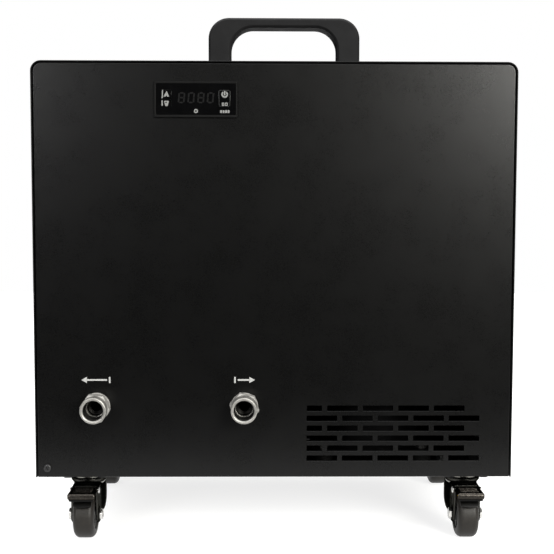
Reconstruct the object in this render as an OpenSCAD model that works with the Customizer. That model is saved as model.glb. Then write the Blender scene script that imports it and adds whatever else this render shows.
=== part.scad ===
// Portable water chiller on casters: a folded sheet-metal cabinet with a carry
// handle, a panel thermostat, two water ports, an intake grille, and the
// refrigeration and water circuits inside.
// Frame: origin on the floor under the middle of the whole object, +X to the
// right and +Z up when looking at the front, which faces -Y. Millimetres.

/* [Cabinet] */
// Cabinet width
body_w = 461; // [441:1:500]
// Cabinet depth
body_d = 280; // [275:1:320]
// Cabinet height without handle and casters
body_h = 398; // [390:1:460]
// Sheet thickness
sheet_t = 1.2; // [1:0.1:1.5]
// Outer bend radius of the wrap cover
cover_r = 10; // [8:0.5:14]
// Gap between the wrap cover and the inset panels
panel_gap = 0.8; // [0.5:0.1:1.2]
// Height of the base pan's upturned lip
lip_h = 15; // [12:0.5:18]

/* [Intake grille] */
// Length of a full slot
slot_l = 29.8; // [20:0.1:30]
// Height of a slot
slot_h = 5.5; // [4:0.1:6]
// Distance between slots along a row
slot_pitch = 34.5; // [32:0.1:36]
// Distance between rows
row_pitch = 9.8; // [8:0.1:10]
// Number of rows
rows = 6; // [2:1:6]

/* [Handle] */
// Handle length
handle_w = 160; // [150:1:170]
// Handle height
handle_h = 61; // [55:1:80]
// Handle depth
handle_d = 30; // [26:1:40]
// Sideways offset of the handle
handle_x = 12; // [-20:1:20]

/* [Water ports] */
// Hexagon size across flats
port_af = 25.5; // [25.5:0.5:28]
// How far the ports stand out of the cabinet
port_out = 24; // [20:1:30]
// Radius of the threaded socket's wall
port_r = 9.3; // [8:0.1:9.4]

/* [Casters] */
// Wheel radius
wheel_r = 23; // [20:0.5:23]
// Wheel width
wheel_w = 20.5; // [18:0.5:20.5]
// Swivel axis to wheel axle
trail = 20; // [18:1:20]

/* [Hidden] */
$fn = 48;

ground = 66;            // height from the floor to the cabinet
rear_proud = 3.6;
yf = -(body_d + port_out + rear_proud) / 2 + port_out; // front edge of the cabinet
yb = yf + body_d;                                      // rear edge of the cabinet
gz = ground;
top = gz + body_h;
pf = yf + 0.6;          // front panel's outer face
pb = yb - 0.6;          // rear panel's outer face
pw = body_w / 2 - sheet_t - panel_gap; // half width of the inset panels
iw = body_w / 2 - sheet_t;             // half inner width of the cover
fl = pf + sheet_t;      // front panel's inner face
bl = pb - sheet_t;      // rear panel's inner face
pan_z = gz + sheet_t;   // top of the pan's floor

ctl_x = -74.8;
ctl_z = gz + 361.6;
out_x = -171.2;
in_x = -28.8;
port_z = gz + 68.6;
vent_x = 31.4;
vent_z = gz + 66.4;
sw_dx = 2.2;            // sideways offset of the casters
sw_x = 188;             // front swivel axes
sw_xr = 192.4;          // rear swivel axes
sw_yf = yf + 41;
sw_yb = yb - 41;

black = [0.11, 0.11, 0.12];
steel = [0.72, 0.72, 0.70];
copper = [0.72, 0.42, 0.25];

// ---------- helpers ----------
module ext(y0, y1) translate([0, y1, 0]) rotate([90, 0, 0]) linear_extrude(y1 - y0) children();
module rod(y0, y1, r) translate([0, y1, 0]) rotate([90, 0, 0]) cylinder(h = y1 - y0, r = r);
module rodx(x0, x1, r) translate([x0, 0, 0]) rotate([0, 90, 0]) cylinder(h = x1 - x0, r = r);
module box(a, b) translate(a) cube([b[0] - a[0], b[1] - a[1], b[2] - a[2]]);
module rsq(w, h, r) union() {
    translate([-w / 2 + r, -h / 2]) square([w - 2 * r, h]);
    translate([-w / 2, -h / 2 + r]) square([w, h - 2 * r]);
    for (i = [-1, 1]) for (j = [-1, 1]) translate([i * (w / 2 - r), j * (h / 2 - r)]) circle(r);
}
module arch(w, h, r) union() {
    translate([-w / 2, 0]) square([w, h - r]);
    translate([-w / 2 + r, 0]) square([w - 2 * r, h]);
    for (i = [-1, 1]) translate([i * (w / 2 - r), h - r]) circle(r);
}
module hexrod(y0, y1, af, turn = 0) translate([0, y1, 0]) rotate([90, 0, 0]) rotate(turn) cylinder(h = y1 - y0, r = af / sqrt(3), $fn = 6);

function unit(v) = v / norm(v);
function bez(a, b, c, t) = (1 - t) * (1 - t) * a + 2 * t * (1 - t) * b + t * t * c;
// rounds the corners of a route with radius-like length r, in n steps
function soft(p, r, n = 4) = concat([p[0]],
    [for (i = [1:len(p) - 2]) for (k = [0:n])
        bez(p[i] + min(r, norm(p[i - 1] - p[i]) * 0.49) * unit(p[i - 1] - p[i]), p[i],
            p[i] + min(r, norm(p[i + 1] - p[i]) * 0.49) * unit(p[i + 1] - p[i]), k / n)],
    [p[len(p) - 1]]);
function tang(p, i) = unit(p[min(i + 1, len(p) - 1)] - p[max(i - 1, 0)]);
function perp(n, t) = unit(n - (n * t) * t);
// normals carried along the route without twist
function carry(p, i, n) = i == len(p) ? [] : let (m = perp(n, tang(p, i))) concat([m], carry(p, i + 1, m));
function ringpts(p, ns, r, s) = [for (i = [0:len(p) - 1]) for (k = [0:s - 1])
    let (t = tang(p, i), n = ns[i], b = cross(t, n), a = 360 * k / s) p[i] + r * (cos(a) * n + sin(a) * b)];
function skin(n, s, o, flip) = [for (i = [0:n - 2]) for (k = [0:s - 1])
    let (a = o + i * s + k, b = o + i * s + (k + 1) % s, c = b + s, d = a + s) flip ? [a, b, c, d] : [d, c, b, a]];
// solid tube along a route
module line(p, r, s = 8) {
    ns = carry(p, 0, [0.31, 0.53, 0.79]);
    n = len(p);
    polyhedron(points = ringpts(p, ns, r, s),
        faces = concat(skin(n, s, 0, false), [[for (k = [0:s - 1]) k]], [[for (k = [s - 1:-1:0]) (n - 1) * s + k]]));
}
// hollow hose along a route
module hose(p, r, ri, s = 12) {
    ns = carry(p, 0, [0.31, 0.53, 0.79]);
    n = len(p);
    m = n * s;
    polyhedron(points = concat(ringpts(p, ns, r, s), ringpts(p, ns, ri, s)),
        faces = concat(skin(n, s, 0, false), skin(n, s, m, true),
            [for (k = [0:s - 1]) let (j = (k + 1) % s) [k, j, m + j, m + k]],
            [for (k = [0:s - 1]) let (j = (k + 1) % s, e = (n - 1) * s) [e + j, e + k, m + e + k, m + e + j]]));
}

// ---------- cabinet ----------
module base_pan() color(black) difference() {
    union() {
        box([-iw + 0.2, fl, gz], [iw - 0.2, bl, pan_z]);
        box([-iw + 0.2, fl, gz], [iw - 0.2, fl + sheet_t, gz + lip_h]);
        box([-iw + 0.2, bl - sheet_t, gz], [iw - 0.2, bl, gz + lip_h]);
        for (s = [-1, 1]) box([s > 0 ? iw - 0.2 - sheet_t : -iw + 0.2, fl, gz], [s > 0 ? iw - 0.2 : -iw + 0.2 + sheet_t, bl, gz + lip_h]);
    }
    translate([-219.1, fl - 1, gz + 8.2]) rod(0, 4, 2.05);
    for (s = [-1, 1]) translate([s * 215, bl - 3, gz + 8.8]) rod(0, 4, 2.05);
    for (s = [-1, 1]) for (y = [-92, 8, 108]) translate([s * iw - 2, y, gz + 8]) rodx(0, 4, 2.05);
    each_sw() for (i = [-1, 1]) for (j = [-1, 1]) translate([i * 17, j * 20, gz - 1]) cylinder(h = 4, r = 3.05);
    for (i = [-1, 1]) for (j = [-1, 1]) translate([100 + i * 50, -42 + j * 36, gz - 1]) cylinder(h = 4, r = 3.05);
    for (i = [0:3]) box([-40 + i * 26, 20, gz - 1], [-26 + i * 26, 25, pan_z + 1]);
}

module wrap_cover() color(black) difference() {
    translate([0, 0, gz - 1]) ext(yf, yb) difference() {
        arch(body_w, body_h + 1, cover_r);
        translate([0, -1]) arch(body_w - 2 * sheet_t, body_h + 2 - sheet_t, cover_r - sheet_t);
    }
    for (s = [-1, 1]) for (y = [-92, 8, 108]) translate([s * iw - 2, y, gz + 8]) rodx(0, 4, 2.05);
    for (s = [-1, 1]) for (z = [120, 330]) translate([s * iw - 2, yb - 8, gz + z]) rodx(0, 4, 2.05);
    for (s = [-1, 1]) for (j = [-1, 1]) translate([handle_x + s * (handle_w / 2 - 10.5), yf + 140 + j * 8, top - 3]) cylinder(h = 4, r = 2.6);
}

// a sheet panel with bent-back flanges at its sides and top
module flanged(y0, y1, flip) {
    h = body_h + 1 - sheet_t - panel_gap;
    r = cover_r - sheet_t - panel_gap;
    translate([0, 0, gz - 1]) ext(y0, y1) arch(2 * pw, h, r);
    translate([0, 0, gz - 1]) ext(flip ? y1 - 12 : y0, flip ? y1 : y0 + 12) difference() {
        arch(2 * pw, h, r);
        translate([0, -1]) arch(2 * pw - 2 * sheet_t, h + 1 - sheet_t, r - sheet_t);
        translate([-pw - 1, -1]) square([2 * pw + 2, lip_h + 5]);
    }
}
function slots() = [for (r = [0:rows - 1]) for (k = [0:4])
    r % 2 == 1 ? [vent_x + k * slot_pitch - 0.1, slot_l, r]
    : k == 0 ? [vent_x, slot_l / 2, r] : [vent_x + 19.8 + (k - 1) * slot_pitch, slot_l, r]];
module front_panel() color(black) difference() {
    flanged(pf, fl, false);
    for (s = slots()) box([s[0], pf - 1, vent_z - s[2] * row_pitch - slot_h / 2], [s[0] + s[1], fl + 1, vent_z - s[2] * row_pitch + slot_h / 2]);
    box([ctl_x - 35.5, pf - 1, ctl_z - 14.5], [ctl_x + 35.5, fl + 1, ctl_z + 14.5]);
    for (x = [out_x, in_x]) translate([x, pf - 1, port_z]) rod(0, 4, 10.6);
    translate([-219.1, pf - 1, gz + 8.2]) rod(0, 4, 2.1);
}

fan_x = 95;
fan_z = 205;
module rear_panel() color(black) difference() {
    flanged(bl, pb, true);
    translate([fan_x, 0, fan_z]) ext(bl - 1, pb + 1) difference() {
        for (r = [22:12:94]) difference() { circle(r + 6); circle(r); }
        for (a = [0, 45, 90, 135]) rotate(a) square([220, 6], center = true);
    }
    box([-172, bl - 1, 94], [-128, pb + 1, 144]);
    for (s = [-1, 1]) translate([s * 215, bl - 1, gz + 8.8]) rod(0, 4, 2.1);
    for (s = [-1, 1]) for (z = [120, 330]) translate([s * pw - 2, yb - 8, gz + z]) rodx(0, 4, 2.1);
    for (i = [-1, 1]) for (j = [-1, 1]) translate([fan_x + i * 105, bl - 1, fan_z + j * 105]) rod(0, 4, 2.1);
}

// a pan-head screw along +Y from its head's underside at the origin
module screw_y(l) difference() {
    union() { rod(-2.3, 0, 3.9); rod(-1, l, 2); }
    for (a = [0, 90]) rotate([0, a, 0]) box([-2.3, -3, -0.45], [2.3, -1.1, 0.45]);
}
module panel_screws() color([0.08, 0.08, 0.08]) {
    translate([-219.1, pf, gz + 8.2]) screw_y(8);
    for (s = [-1, 1]) translate([s * 215, pb, gz + 8.8]) rotate([0, 0, 180]) screw_y(8);
    for (i = [-1, 1]) for (j = [-1, 1]) translate([fan_x + i * 105, pb, fan_z + j * 105]) rotate([0, 0, 180]) screw_y(8);
    for (s = [-1, 1]) for (y = [-92, 8, 108]) translate([s * body_w / 2, y, gz + 8]) rotate([0, 0, s * 90]) screw_y(8);
    for (s = [-1, 1]) for (z = [120, 330]) translate([s * body_w / 2, yb - 8, gz + z]) rotate([0, 0, s * 90]) screw_y(8);
}

module handle() color([0.16, 0.16, 0.17]) difference() {
    translate([handle_x, 0, top]) ext(yf + 140 - handle_d / 2, yf + 140 + handle_d / 2) difference() {
        arch(handle_w, handle_h, 21.7);
        translate([0, -1]) arch(handle_w - 47.5, handle_h - 9.1, 23.5);
    }
    for (s = [-1, 1]) for (j = [-1, 1]) translate([handle_x + s * (handle_w / 2 - 10.5), yf + 140 + j * 8, top - 1]) cylinder(h = 15, r = 2.55);
}
module handle_screws() color(steel)
    for (s = [-1, 1]) for (j = [-1, 1]) translate([handle_x + s * (handle_w / 2 - 10.5), yf + 140 + j * 8, top - sheet_t]) {
        cylinder(h = 13, r = 2.5);
        translate([0, 0, -3]) cylinder(h = 3, r = 4.6);
    }

// ---------- thermostat ----------
module at_ctl() translate([ctl_x, 0, ctl_z]) children();
up_p = [-27.6, 4.6, 9.4, 8.6];     // x, z, width, height of each key
down_p = [-27.6, -4.4, 9.4, 8.6];
pow_p = [27.2, 1.1, 11.2, 15.8];
module keyhole(k, g) translate([k[0], k[1]]) square([k[2] + 2 * g, k[3] + 2 * g], center = true);
module controller_bezel() color([0.2, 0.2, 0.21]) at_ctl() {
    difference() {
        ext(pf - 2.6, pf) rsq(78.5, 33.6, 1.4);
        ext(pf - 3, pf - 1) translate([0, 0.4]) rsq(75.8, 29.8, 1);
        ext(pf - 2, pf + 1) square([68, 26], center = true);
    }
}
module controller_window() color([0.03, 0.03, 0.04]) at_ctl() difference() {
    ext(pf - 2.4, pf - 1) translate([0, 0.4]) rsq(75.5, 29.5, 0.85);
    for (k = [up_p, down_p, pow_p]) ext(pf - 3, pf) keyhole(k, 0.3);
}
module key_cap(k) color([0.04, 0.04, 0.05]) at_ctl() {
    ext(pf - 2.5, pf - 0.7) keyhole(k, 0);
    ext(pf - 0.7, pf + 0.3) keyhole(k, -0.4);
    translate([k[0], 0, k[1]]) rod(pf + 0.2, pf + 3.6, 1.6);
}
module key_up() key_cap(up_p);
module key_down() key_cap(down_p);
module key_power() key_cap(pow_p);
module controller_case() color([0.12, 0.12, 0.13]) at_ctl() {
    difference() {
        ext(pf, pf + 60) square([70.6, 28.6], center = true);
        ext(pf - 1, pf + 58.4) square([67.4, 25.4], center = true);
        for (x = [-24, -12, 0, 12, 24]) translate([x, 0, 0]) ext(pf + 57, pf + 61) square([7, 9], center = true);
    }
}
module controller_board() color([0.1, 0.35, 0.2]) at_ctl() {
    ext(pf + 6.4, pf + 8) square([67.2, 25.2], center = true);
    ext(pf + 1, pf + 6.4) square([38, 14], center = true);
    for (k = [up_p, down_p, pow_p]) translate([k[0], 0, k[1]]) ext(pf + 4.8, pf + 6.4) square([6, 6], center = true);
    ext(pf + 8, pf + 26) translate([-14, 0]) square([20, 18], center = true);
    for (x = [6, 20]) translate([x, 0, 0]) ext(pf + 8, pf + 24) square([10, 15], center = true);
}

// ---------- water ports ----------
module port(x, turn, h0) color([0.75, 0.74, 0.71]) translate([x, 0, port_z]) difference() {
    union() {
        rod(pf - 0.6 - port_out, pf, 12.6);
        intersection() {
            hexrod(pf - h0 - 8, pf - h0, port_af, turn);
            union() {
                translate([0, pf - h0 - 7, 0]) rotate([90, 0, 0]) cylinder(h = 1, r1 = port_af / 2 + 2, r2 = port_af / 2);
                rod(pf - h0 - 7, pf - h0 - 1, 20);
                translate([0, pf - h0 - 1, 0]) rotate([-90, 0, 0]) cylinder(h = 1, r1 = port_af / 2 + 2, r2 = port_af / 2);
            }
        }
        rod(pf - 1.5, pf, 13.2);
        rod(pf - 1, pf + 22, 10.5);
        rod(pf + 21, pf + 45, 6.5);
        for (i = [0:2]) translate([0, pf + 28 + i * 6, 0]) rotate([90, 0, 0]) cylinder(h = 3, r1 = 6.8, r2 = 6.4);
    }
    rod(pf - 2 - port_out, pf - port_out + 17.4, port_r);
    rod(pf - port_out, pf - port_out + 22, 7.4);
    rod(pf - port_out, pf + 46, 4.8);
}
module outlet_fitting() port(out_x, 55, 5.5);
module inlet_fitting() port(in_x, 47.5, 1);
module fitting_locknuts() color([0.7, 0.69, 0.66]) for (x = [out_x, in_x]) translate([x, 0, port_z]) difference() {
    hexrod(fl, fl + 7, 30, 15);
    rod(fl - 1, fl + 8, 10.55);
}

// ---------- refrigeration ----------
cx = 100;
cy = -42;
module compressor() color([0.09, 0.09, 0.1]) translate([cx, cy, 0]) {
    difference() {
        union() {
            translate([0, 0, pan_z + 12]) linear_extrude(3) rsq(122, 94, 10);
            translate([0, 0, pan_z + 14]) cylinder(h = 104, r = 50);
            translate([0, 0, pan_z + 118]) cylinder(h = 10, r1 = 50, r2 = 44);
            translate([0, 0, pan_z + 128]) cylinder(h = 7, r1 = 44, r2 = 30);
            translate([0, 0, pan_z + 66]) cylinder(h = 5, r = 52);
        }
        for (i = [-1, 1]) for (j = [-1, 1]) translate([i * 50, j * 36, pan_z + 10]) cylinder(h = 8, r = 5);
    }
}
module compressor_grommets() color([0.05, 0.05, 0.05]) for (i = [-1, 1]) for (j = [-1, 1]) translate([cx + i * 50, cy + j * 36, pan_z]) difference() {
    union() { cylinder(h = 12, r = 10); translate([0, 0, 11]) cylinder(h = 4, r = 4.9); }
    translate([0, 0, -1]) cylinder(h = 20, r = 3.1);
}
module terminal_cover() color([0.07, 0.07, 0.08]) difference() {
    box([cx - 74, cy - 18, 150], [cx - 30, cy + 18, 186]);
    translate([cx, cy, 100]) cylinder(h = 120, r = 50.1);
    box([cx - 72, cy - 16, 152], [cx - 30, cy + 16, 184]);
}
cond_y = 78;
cond_z0 = 104;
cond_n = 14;
module condenser_tubes() color([0.78, 0.79, 0.8]) {
    for (x = [-14, 204]) translate([x, cond_y, cond_z0 - 6]) cylinder(h = cond_n * 14 + 12, r = 9);
    for (i = [0:cond_n]) box([-10, cond_y - 9, cond_z0 + i * 14 - 1], [200, cond_y + 9, cond_z0 + i * 14 + 1]);
}
module condenser_fins() color([0.82, 0.83, 0.84])
    for (i = [0:cond_n - 1]) translate([0, 0, cond_z0 + i * 14 + 1]) ext(cond_y - 8.5, cond_y + 8.5)
        polygon(concat([for (k = [0:24]) [-2 + k * 8, k % 2 == 0 ? 0 : 11.2]], [for (k = [24:-1:0]) [-2 + k * 8, k % 2 == 0 ? 0.8 : 12]]));

dis = [cx + 50.2 * cos(60), cy + 50.2 * sin(60), 160];
module discharge_line() color(copper) line(soft([dis, [cx + 64 * cos(60), cy + 64 * sin(60), 160], [132, 13.4, 334], [204, 70, 336], [204, 78, 330], [204, 78, 306.2]], 12), 3.2);
// the strainer and the thin throttling tube to the coil
function cap_coil() = [for (k = [0:54]) [-60 + 20 * cos(k * 20), 100 + 20 * sin(k * 20), 262 + k * 0.9]];
module liquid_line() color(copper) {
    line(soft([[-14, 78, 97.8], [-14, 78, 88], [-40, 84, 86], [-60, 100, 90], [-60, 100, 159.8]], 9), 3.2);
    line(concat([[-60, 100, 250.2], [-54, 100, 256]], cap_coil(), soft([[-42, 96, 312], [-80, 78, 350], [-140, 62, 372], [-150, 60, 366], [-150, 60, 353.2]], 12)), 1.3, 6);
}
suc = [cx + 50.2 * cos(150), cy + 50.2 * sin(150), 160];
module suction_line() color([0.08, 0.08, 0.08]) line(soft([suc, [cx + 66 * cos(150), cy + 66 * sin(150), 160], [42.8, -9, 374], [-50, 40, 378], [-114, 60, 376], [-114, 60, 353.2]], 14), 6, 10);
module filter_drier() color(copper) translate([-60, 100, 0]) {
    translate([0, 0, 172]) cylinder(h = 66, r = 10);
    translate([0, 0, 160]) cylinder(h = 12, r1 = 4, r2 = 10);
    translate([0, 0, 238]) cylinder(h = 12, r1 = 10, r2 = 3);
}
ev = [-150, 60, 0];
module evaporator_barrel() color([0.13, 0.13, 0.14]) translate(ev) difference() {
    union() {
        translate([0, 0, pan_z]) cylinder(h = 255, r = 52);
        for (z = [112, 300]) translate([0, 0, z]) { rod(-80, -45, 6.5); rod(-58, -45, 11); }
    }
    translate([0, 0, pan_z + 20]) cylinder(h = 300, r = 48);
    translate([0, 0, pan_z - 1]) cylinder(h = 17, r = 48);
    for (z = [112, 300]) translate([0, 0, z]) rod(-90, -40, 4.8);
}
module evaporator_lid() color([0.2, 0.2, 0.21]) translate(ev) difference() {
    union() {
        translate([0, 0, pan_z + 255]) cylinder(h = 12, r = 56);
        translate([0, 0, pan_z + 247]) cylinder(h = 9, r = 47.7);
    }
    for (x = [0, 36]) translate([x, 0, pan_z + 240]) cylinder(h = 40, r = 5.4);
    translate([-20, 0, pan_z + 240]) cylinder(h = 40, r = 3.1);
}
function helix() = [for (k = [0:16 * 9]) [36 * cos(k * 22.5), 36 * sin(k * 22.5), 104 + k * 186 / 144]];
module evaporator_coil() color([0.62, 0.6, 0.57]) translate(ev)
    line(concat([[0, 0, 352]], [[0, 0, 200]], [[0, 0, 112]], [[6, -6, 100]], [[24, -14, 100]], helix(), [[36, 5, 294]], [[36, 3.5, 300]], [[36, 0.6, 305]], [[36, 0, 309]], [[36, 0, 352]]), 5, 8);

// ---------- fan ----------
module fan_shroud() color([0.1, 0.1, 0.11]) {
    difference() {
        union() {
            box([fan_x - 112, 98, fan_z - 110], [fan_x + 112, 99.5, fan_z + 110]);
            translate([fan_x, 0, fan_z]) rod(99, 147, 103);
            difference() {
                box([fan_x - 112, 88, fan_z - 110], [fan_x + 112, 99, fan_z + 110]);
                box([fan_x - 110.5, 87, fan_z - 108.5], [fan_x + 110.5, 100, fan_z + 108.5]);
            }
        }
        translate([fan_x, 0, fan_z]) rod(90, 150, 101);
    }
    for (i = [-1, 1]) for (j = [-1, 1]) translate([fan_x + i * 105, 0, fan_z + j * 105]) difference() {
        rod(99.5, bl, 5);
        rod(bl - 12, bl + 1, 2.05);
    }
}
module fan_motor() color([0.14, 0.14, 0.15]) translate([fan_x, 0, fan_z]) {
    rod(128, 145, 36);
    rod(104, 129, 4);
    for (a = [45, 135]) rotate([0, a, 0]) box([-100.9, 139, -7], [100.9, 143, 7]);
}
module fan_blades() color([0.06, 0.06, 0.07]) translate([fan_x, 0, fan_z]) difference() {
    union() {
        rod(105, 124, 33);
        intersection() {
            for (k = [0:6]) rotate([0, k * 360 / 7, 0]) translate([0, 114, 30]) rotate([0, 0, 32]) box([-22, -1, 0], [22, 1, 70]);
            rod(100, 127, 96);
        }
    }
    rod(100, 130, 4.05);
}

// ---------- water circuit ----------
pump_y = -30;
module pump_volute() color([0.15, 0.15, 0.17]) translate([in_x, 0, port_z]) difference() {
    union() {
        rod(pump_y - 18, pump_y + 2, 30);
        rod(pump_y - 42, pump_y - 17, 6.5);
        translate([0, pump_y - 8, -18]) rodx(-62, -10, 6.5);
    }
    rod(pump_y - 15, pump_y + 3, 26);
    rod(pump_y - 50, pump_y - 10, 4.8);
    translate([0, pump_y - 8, -18]) rodx(-63, -12, 4.8);
}
module pump_motor() color([0.1, 0.1, 0.12]) translate([in_x, 0, port_z]) difference() {
    union() {
        rod(pump_y + 2, pump_y + 5, 30);
        rod(pump_y + 4, pump_y + 62, 25);
        rod(pump_y - 10, pump_y + 5, 2.5);
        for (y = [pump_y + 12, pump_y + 48]) box([-22, y, pan_z - port_z], [22, y + 6, -10]);
        box([-26, pump_y + 6, pan_z - port_z], [26, pump_y + 60, pan_z - port_z + 4]);
    }
}
module pump_impeller() color([0.85, 0.85, 0.82]) translate([in_x, 0, port_z]) difference() {
    union() {
        rod(pump_y - 2, pump_y + 1, 23);
        rod(pump_y - 8, pump_y + 1, 6);
        for (k = [0:5]) rotate([0, k * 60, 0]) box([4.5, pump_y - 9, -0.8], [22, pump_y - 1, 0.8]);
    }
    rod(pump_y - 12, pump_y + 3, 2.55);
}
hose_r = 9.4;
hose_i = 7.1;
module inlet_hose() color([0.2, 0.2, 0.2]) hose([[in_x, pf + 23, port_z], [in_x, pf + 36, port_z], [in_x, pump_y - 32, port_z], [in_x, pump_y - 19, port_z]], hose_r, hose_i);
module transfer_hose() color([0.2, 0.2, 0.2]) hose(soft([[in_x - 36, pump_y - 8, port_z - 18], [in_x - 62, pump_y - 8, port_z - 18], [-118, pump_y - 10, 112], [-150, pump_y - 28, 112], [-150, -20, 112], [-150, 1.5, 112]], 14, 5), hose_r, hose_i);
module outlet_hose() color([0.2, 0.2, 0.2]) hose(soft([[-150, 1.5, 300], [-150, -20, 300], [-152, -46, 298], [-166, -56, 262], [out_x, -52, 180], [out_x, -48, port_z], [out_x, pf + 45, port_z], [out_x, pf + 23, port_z]], 18, 5), hose_r, hose_i);
module clamp_y(x, y, z) translate([x, y, z]) difference() { union() { rod(-4, 4, 10.4); box([-3, -4, 9.8], [3, 4, 14]); } rod(-5, 5, 9.5); }
module hose_clamps() color(steel) {
    for (x = [out_x, in_x]) clamp_y(x, pf + 31, port_z);
    clamp_y(in_x, pump_y - 26, port_z);
    for (z = [112, 300]) clamp_y(-150, -7, z);
    translate([in_x - 50, pump_y - 8, port_z - 18]) rotate([0, 0, 90]) clamp_y(0, 0, 0);
}

// ---------- electrics ----------
module electrical_box() color([0.16, 0.16, 0.17]) {
    difference() {
        box([168, -102, 304], [iw - 0.1, -8, 400]);
        box([160, -100, 306], [iw - 2.1, -10, 398]);
    }
    translate([196, -30, 306]) cylinder(h = 62, r = 18);
    box([176, -96, 306], [iw - 4, -54, 330]);
    for (i = [0:5]) box([180, -94 + i * 6.6, 330], [iw - 8, -89.6 + i * 6.6, 337]);
}
module temperature_probe() color([0.3, 0.3, 0.31]) {
    translate([-170, 60, 292]) cylinder(h = 56, r = 3);
    line(soft([[-170, 60, 347.5], [-170, 60, 366], [-150, 0, 390], [ctl_x - 12, -20, ctl_z], [ctl_x - 12, pf + 60.2, ctl_z]], 16), 1.7, 6);
}
rk_z = 130;
module power_inlet() color([0.05, 0.05, 0.05]) difference() {
    union() {
        box([-176, pb, 90], [-124, pb + 4.2, 148]);
        box([-171.6, pb - 26, 94.4], [-128.4, pb, 143.6]);
    }
    translate([-150, 0, 107]) difference() {
        ext(pb - 13, pb + 5) difference() {
            square([24.6, 17], center = true);
            for (s = [-1, 1]) translate([s * 12.3, 8.5]) rotate(45) square(5, center = true);
        }
        ext(pb - 14, pb - 2.4) for (x = [-7, 0, 7]) translate([x, x == 0 ? 2 : -2]) square([2, 4.5], center = true);
    }
    translate([-150, 0, rk_z]) ext(pb - 10, pb + 5) square([14, 21], center = true);
    translate([-150, pb - 1, rk_z]) rodx(-9.2, 9.2, 1.55);
}
module power_rocker() color([0.07, 0.07, 0.07]) translate([-150, pb - 1, rk_z]) rotate([-7, 0, 0]) {
    rotate([90, 0, 90]) translate([0, 0, -6.5]) linear_extrude(13)
        polygon([[-4, -7], [3.4, -9.4], [4.2, -9.2], [3, 0], [4.2, 9.2], [3.4, 9.4], [-4, 7]]);
    rodx(-9, 9, 1.5);
}

// ---------- casters ----------
module at_sw(s, r) translate([sw_dx + s * (r ? sw_xr : sw_x), r ? sw_yb : sw_yf, 0]) children();
module each_sw() for (s = [-1, 1]) for (r = [false, true]) at_sw(s, r) children();
race_z = 56.8;
module caster_plates() color(steel) each_sw() difference() {
    union() {
        box([-23, -27, gz - 2.5], [23, 27, gz]);
        translate([0, 0, race_z + 0.3]) cylinder(h = gz - 2 - race_z - 0.3, r = 16.5);
        translate([0, 0, 47.4]) cylinder(h = 15, r = 5);
        translate([0, 0, 47.4]) cylinder(h = 2, r = 8);
    }
    translate([0, 0, race_z]) rotate_extrude() translate([11, 0]) circle(2.3);
    for (i = [-1, 1]) for (j = [-1, 1]) translate([i * 17, j * 20, gz - 4]) cylinder(h = 6, r = 3.1);
}
module swivel_balls() color([0.85, 0.85, 0.86]) each_sw() for (k = [0:11]) rotate(k * 30) translate([11, 0, race_z]) sphere(r = 1.9);
module bolt_m6(l) {
    translate([0, 0, -3.2]) cylinder(h = 3.2, r = 5.8, $fn = 6);
    translate([0, 0, -0.5]) cylinder(h = l + 0.5, r = 3);
}
module nut_m6() difference() { cylinder(h = 5, r = 5.8, $fn = 6); translate([0, 0, -1]) cylinder(h = 7, r = 3.02); }
module mounting_bolts() color(steel) {
    each_sw() for (i = [-1, 1]) for (j = [-1, 1]) translate([i * 17, j * 20, 0]) {
        translate([0, 0, gz - 2.5]) bolt_m6(11);
        translate([0, 0, pan_z]) nut_m6();
    }
    for (i = [-1, 1]) for (j = [-1, 1]) translate([cx + i * 50, cy + j * 36, 0]) {
        translate([0, 0, gz]) bolt_m6(22);
        translate([0, 0, pan_z + 15]) nut_m6();
    }
}
ax_z = wheel_r;
module leg2d() difference() {
    union() {
        polygon([[-31, 51], [-12, 52.2], [12, 52.2], [16, 49], [17, 45], [17, 29], [10, 23.6], [-5, 19.4], [-14.5, 15.9], [-20, ax_z], [-29, ax_z]]);
        translate([-trail, ax_z]) circle(9);
    }
    translate([-trail, ax_z]) circle(3.05);
}
// in plan the legs run along the wheel and spread behind it
leg_y = [[11.2, -40], [13.2, -40], [13.2, -13], [15.2, 6], [15.2, 30], [13.2, 30], [13.2, 6.3], [11.2, -12.7]];
module fork() color(steel) {
    difference() {
        union() {
            translate([0, 0, 49.7]) cylinder(h = race_z - 0.3 - 49.7, r = 17.65);
            // the yoke's web between the legs, with its front edge bent down
            translate([0, 0, 49.9]) linear_extrude(1.5) polygon([[-12.2, -22.6], [12.2, -22.6], [12.2, -12], [14.4, 7], [14.4, 11.6], [-14.4, 11.6], [-14.4, 7], [-12.2, -12]]);
            box([-12.1, -22.6, 47.6], [12.1, -21.4, 51]);
            intersection() {
                linear_extrude(60) {
                    polygon(leg_y);
                    polygon([for (k = [7:-1:0]) [-leg_y[k][0], leg_y[k][1]]]);
                }
                translate([-20, 0, 0]) rotate([90, 0, 90]) linear_extrude(40) leg2d();
            }
        }
        translate([0, 0, 40]) cylinder(h = 30, r = 5.05);
        translate([0, 0, race_z]) rotate_extrude() translate([11, 0]) circle(2.3);
    }
}
module brake_rivet() color(steel) translate([0, -26, 48.2]) rodx(-14.3, 14.3, 1.8);
module fork_front_left() at_sw(-1, false) { fork(); brake_rivet(); }
module fork_front_right() at_sw(1, false) { fork(); brake_rivet(); }
module fork_rear_left() at_sw(-1, true) fork();
module fork_rear_right() at_sw(1, true) fork();
module axle() color([0.8, 0.8, 0.81]) translate([0, -trail, ax_z]) {
    rodx(-14, 15.2, 3);
    for (x = [-16.6, 13.2]) translate([x, 0, 0]) rotate([0, 90, 0]) cylinder(h = 3.4, r = 5.8, $fn = 6);
}
module axle_front_left() at_sw(-1, false) axle();
module axle_front_right() at_sw(1, false) axle();
module axle_rear_left() at_sw(-1, true) axle();
module axle_rear_right() at_sw(1, true) axle();
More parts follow.
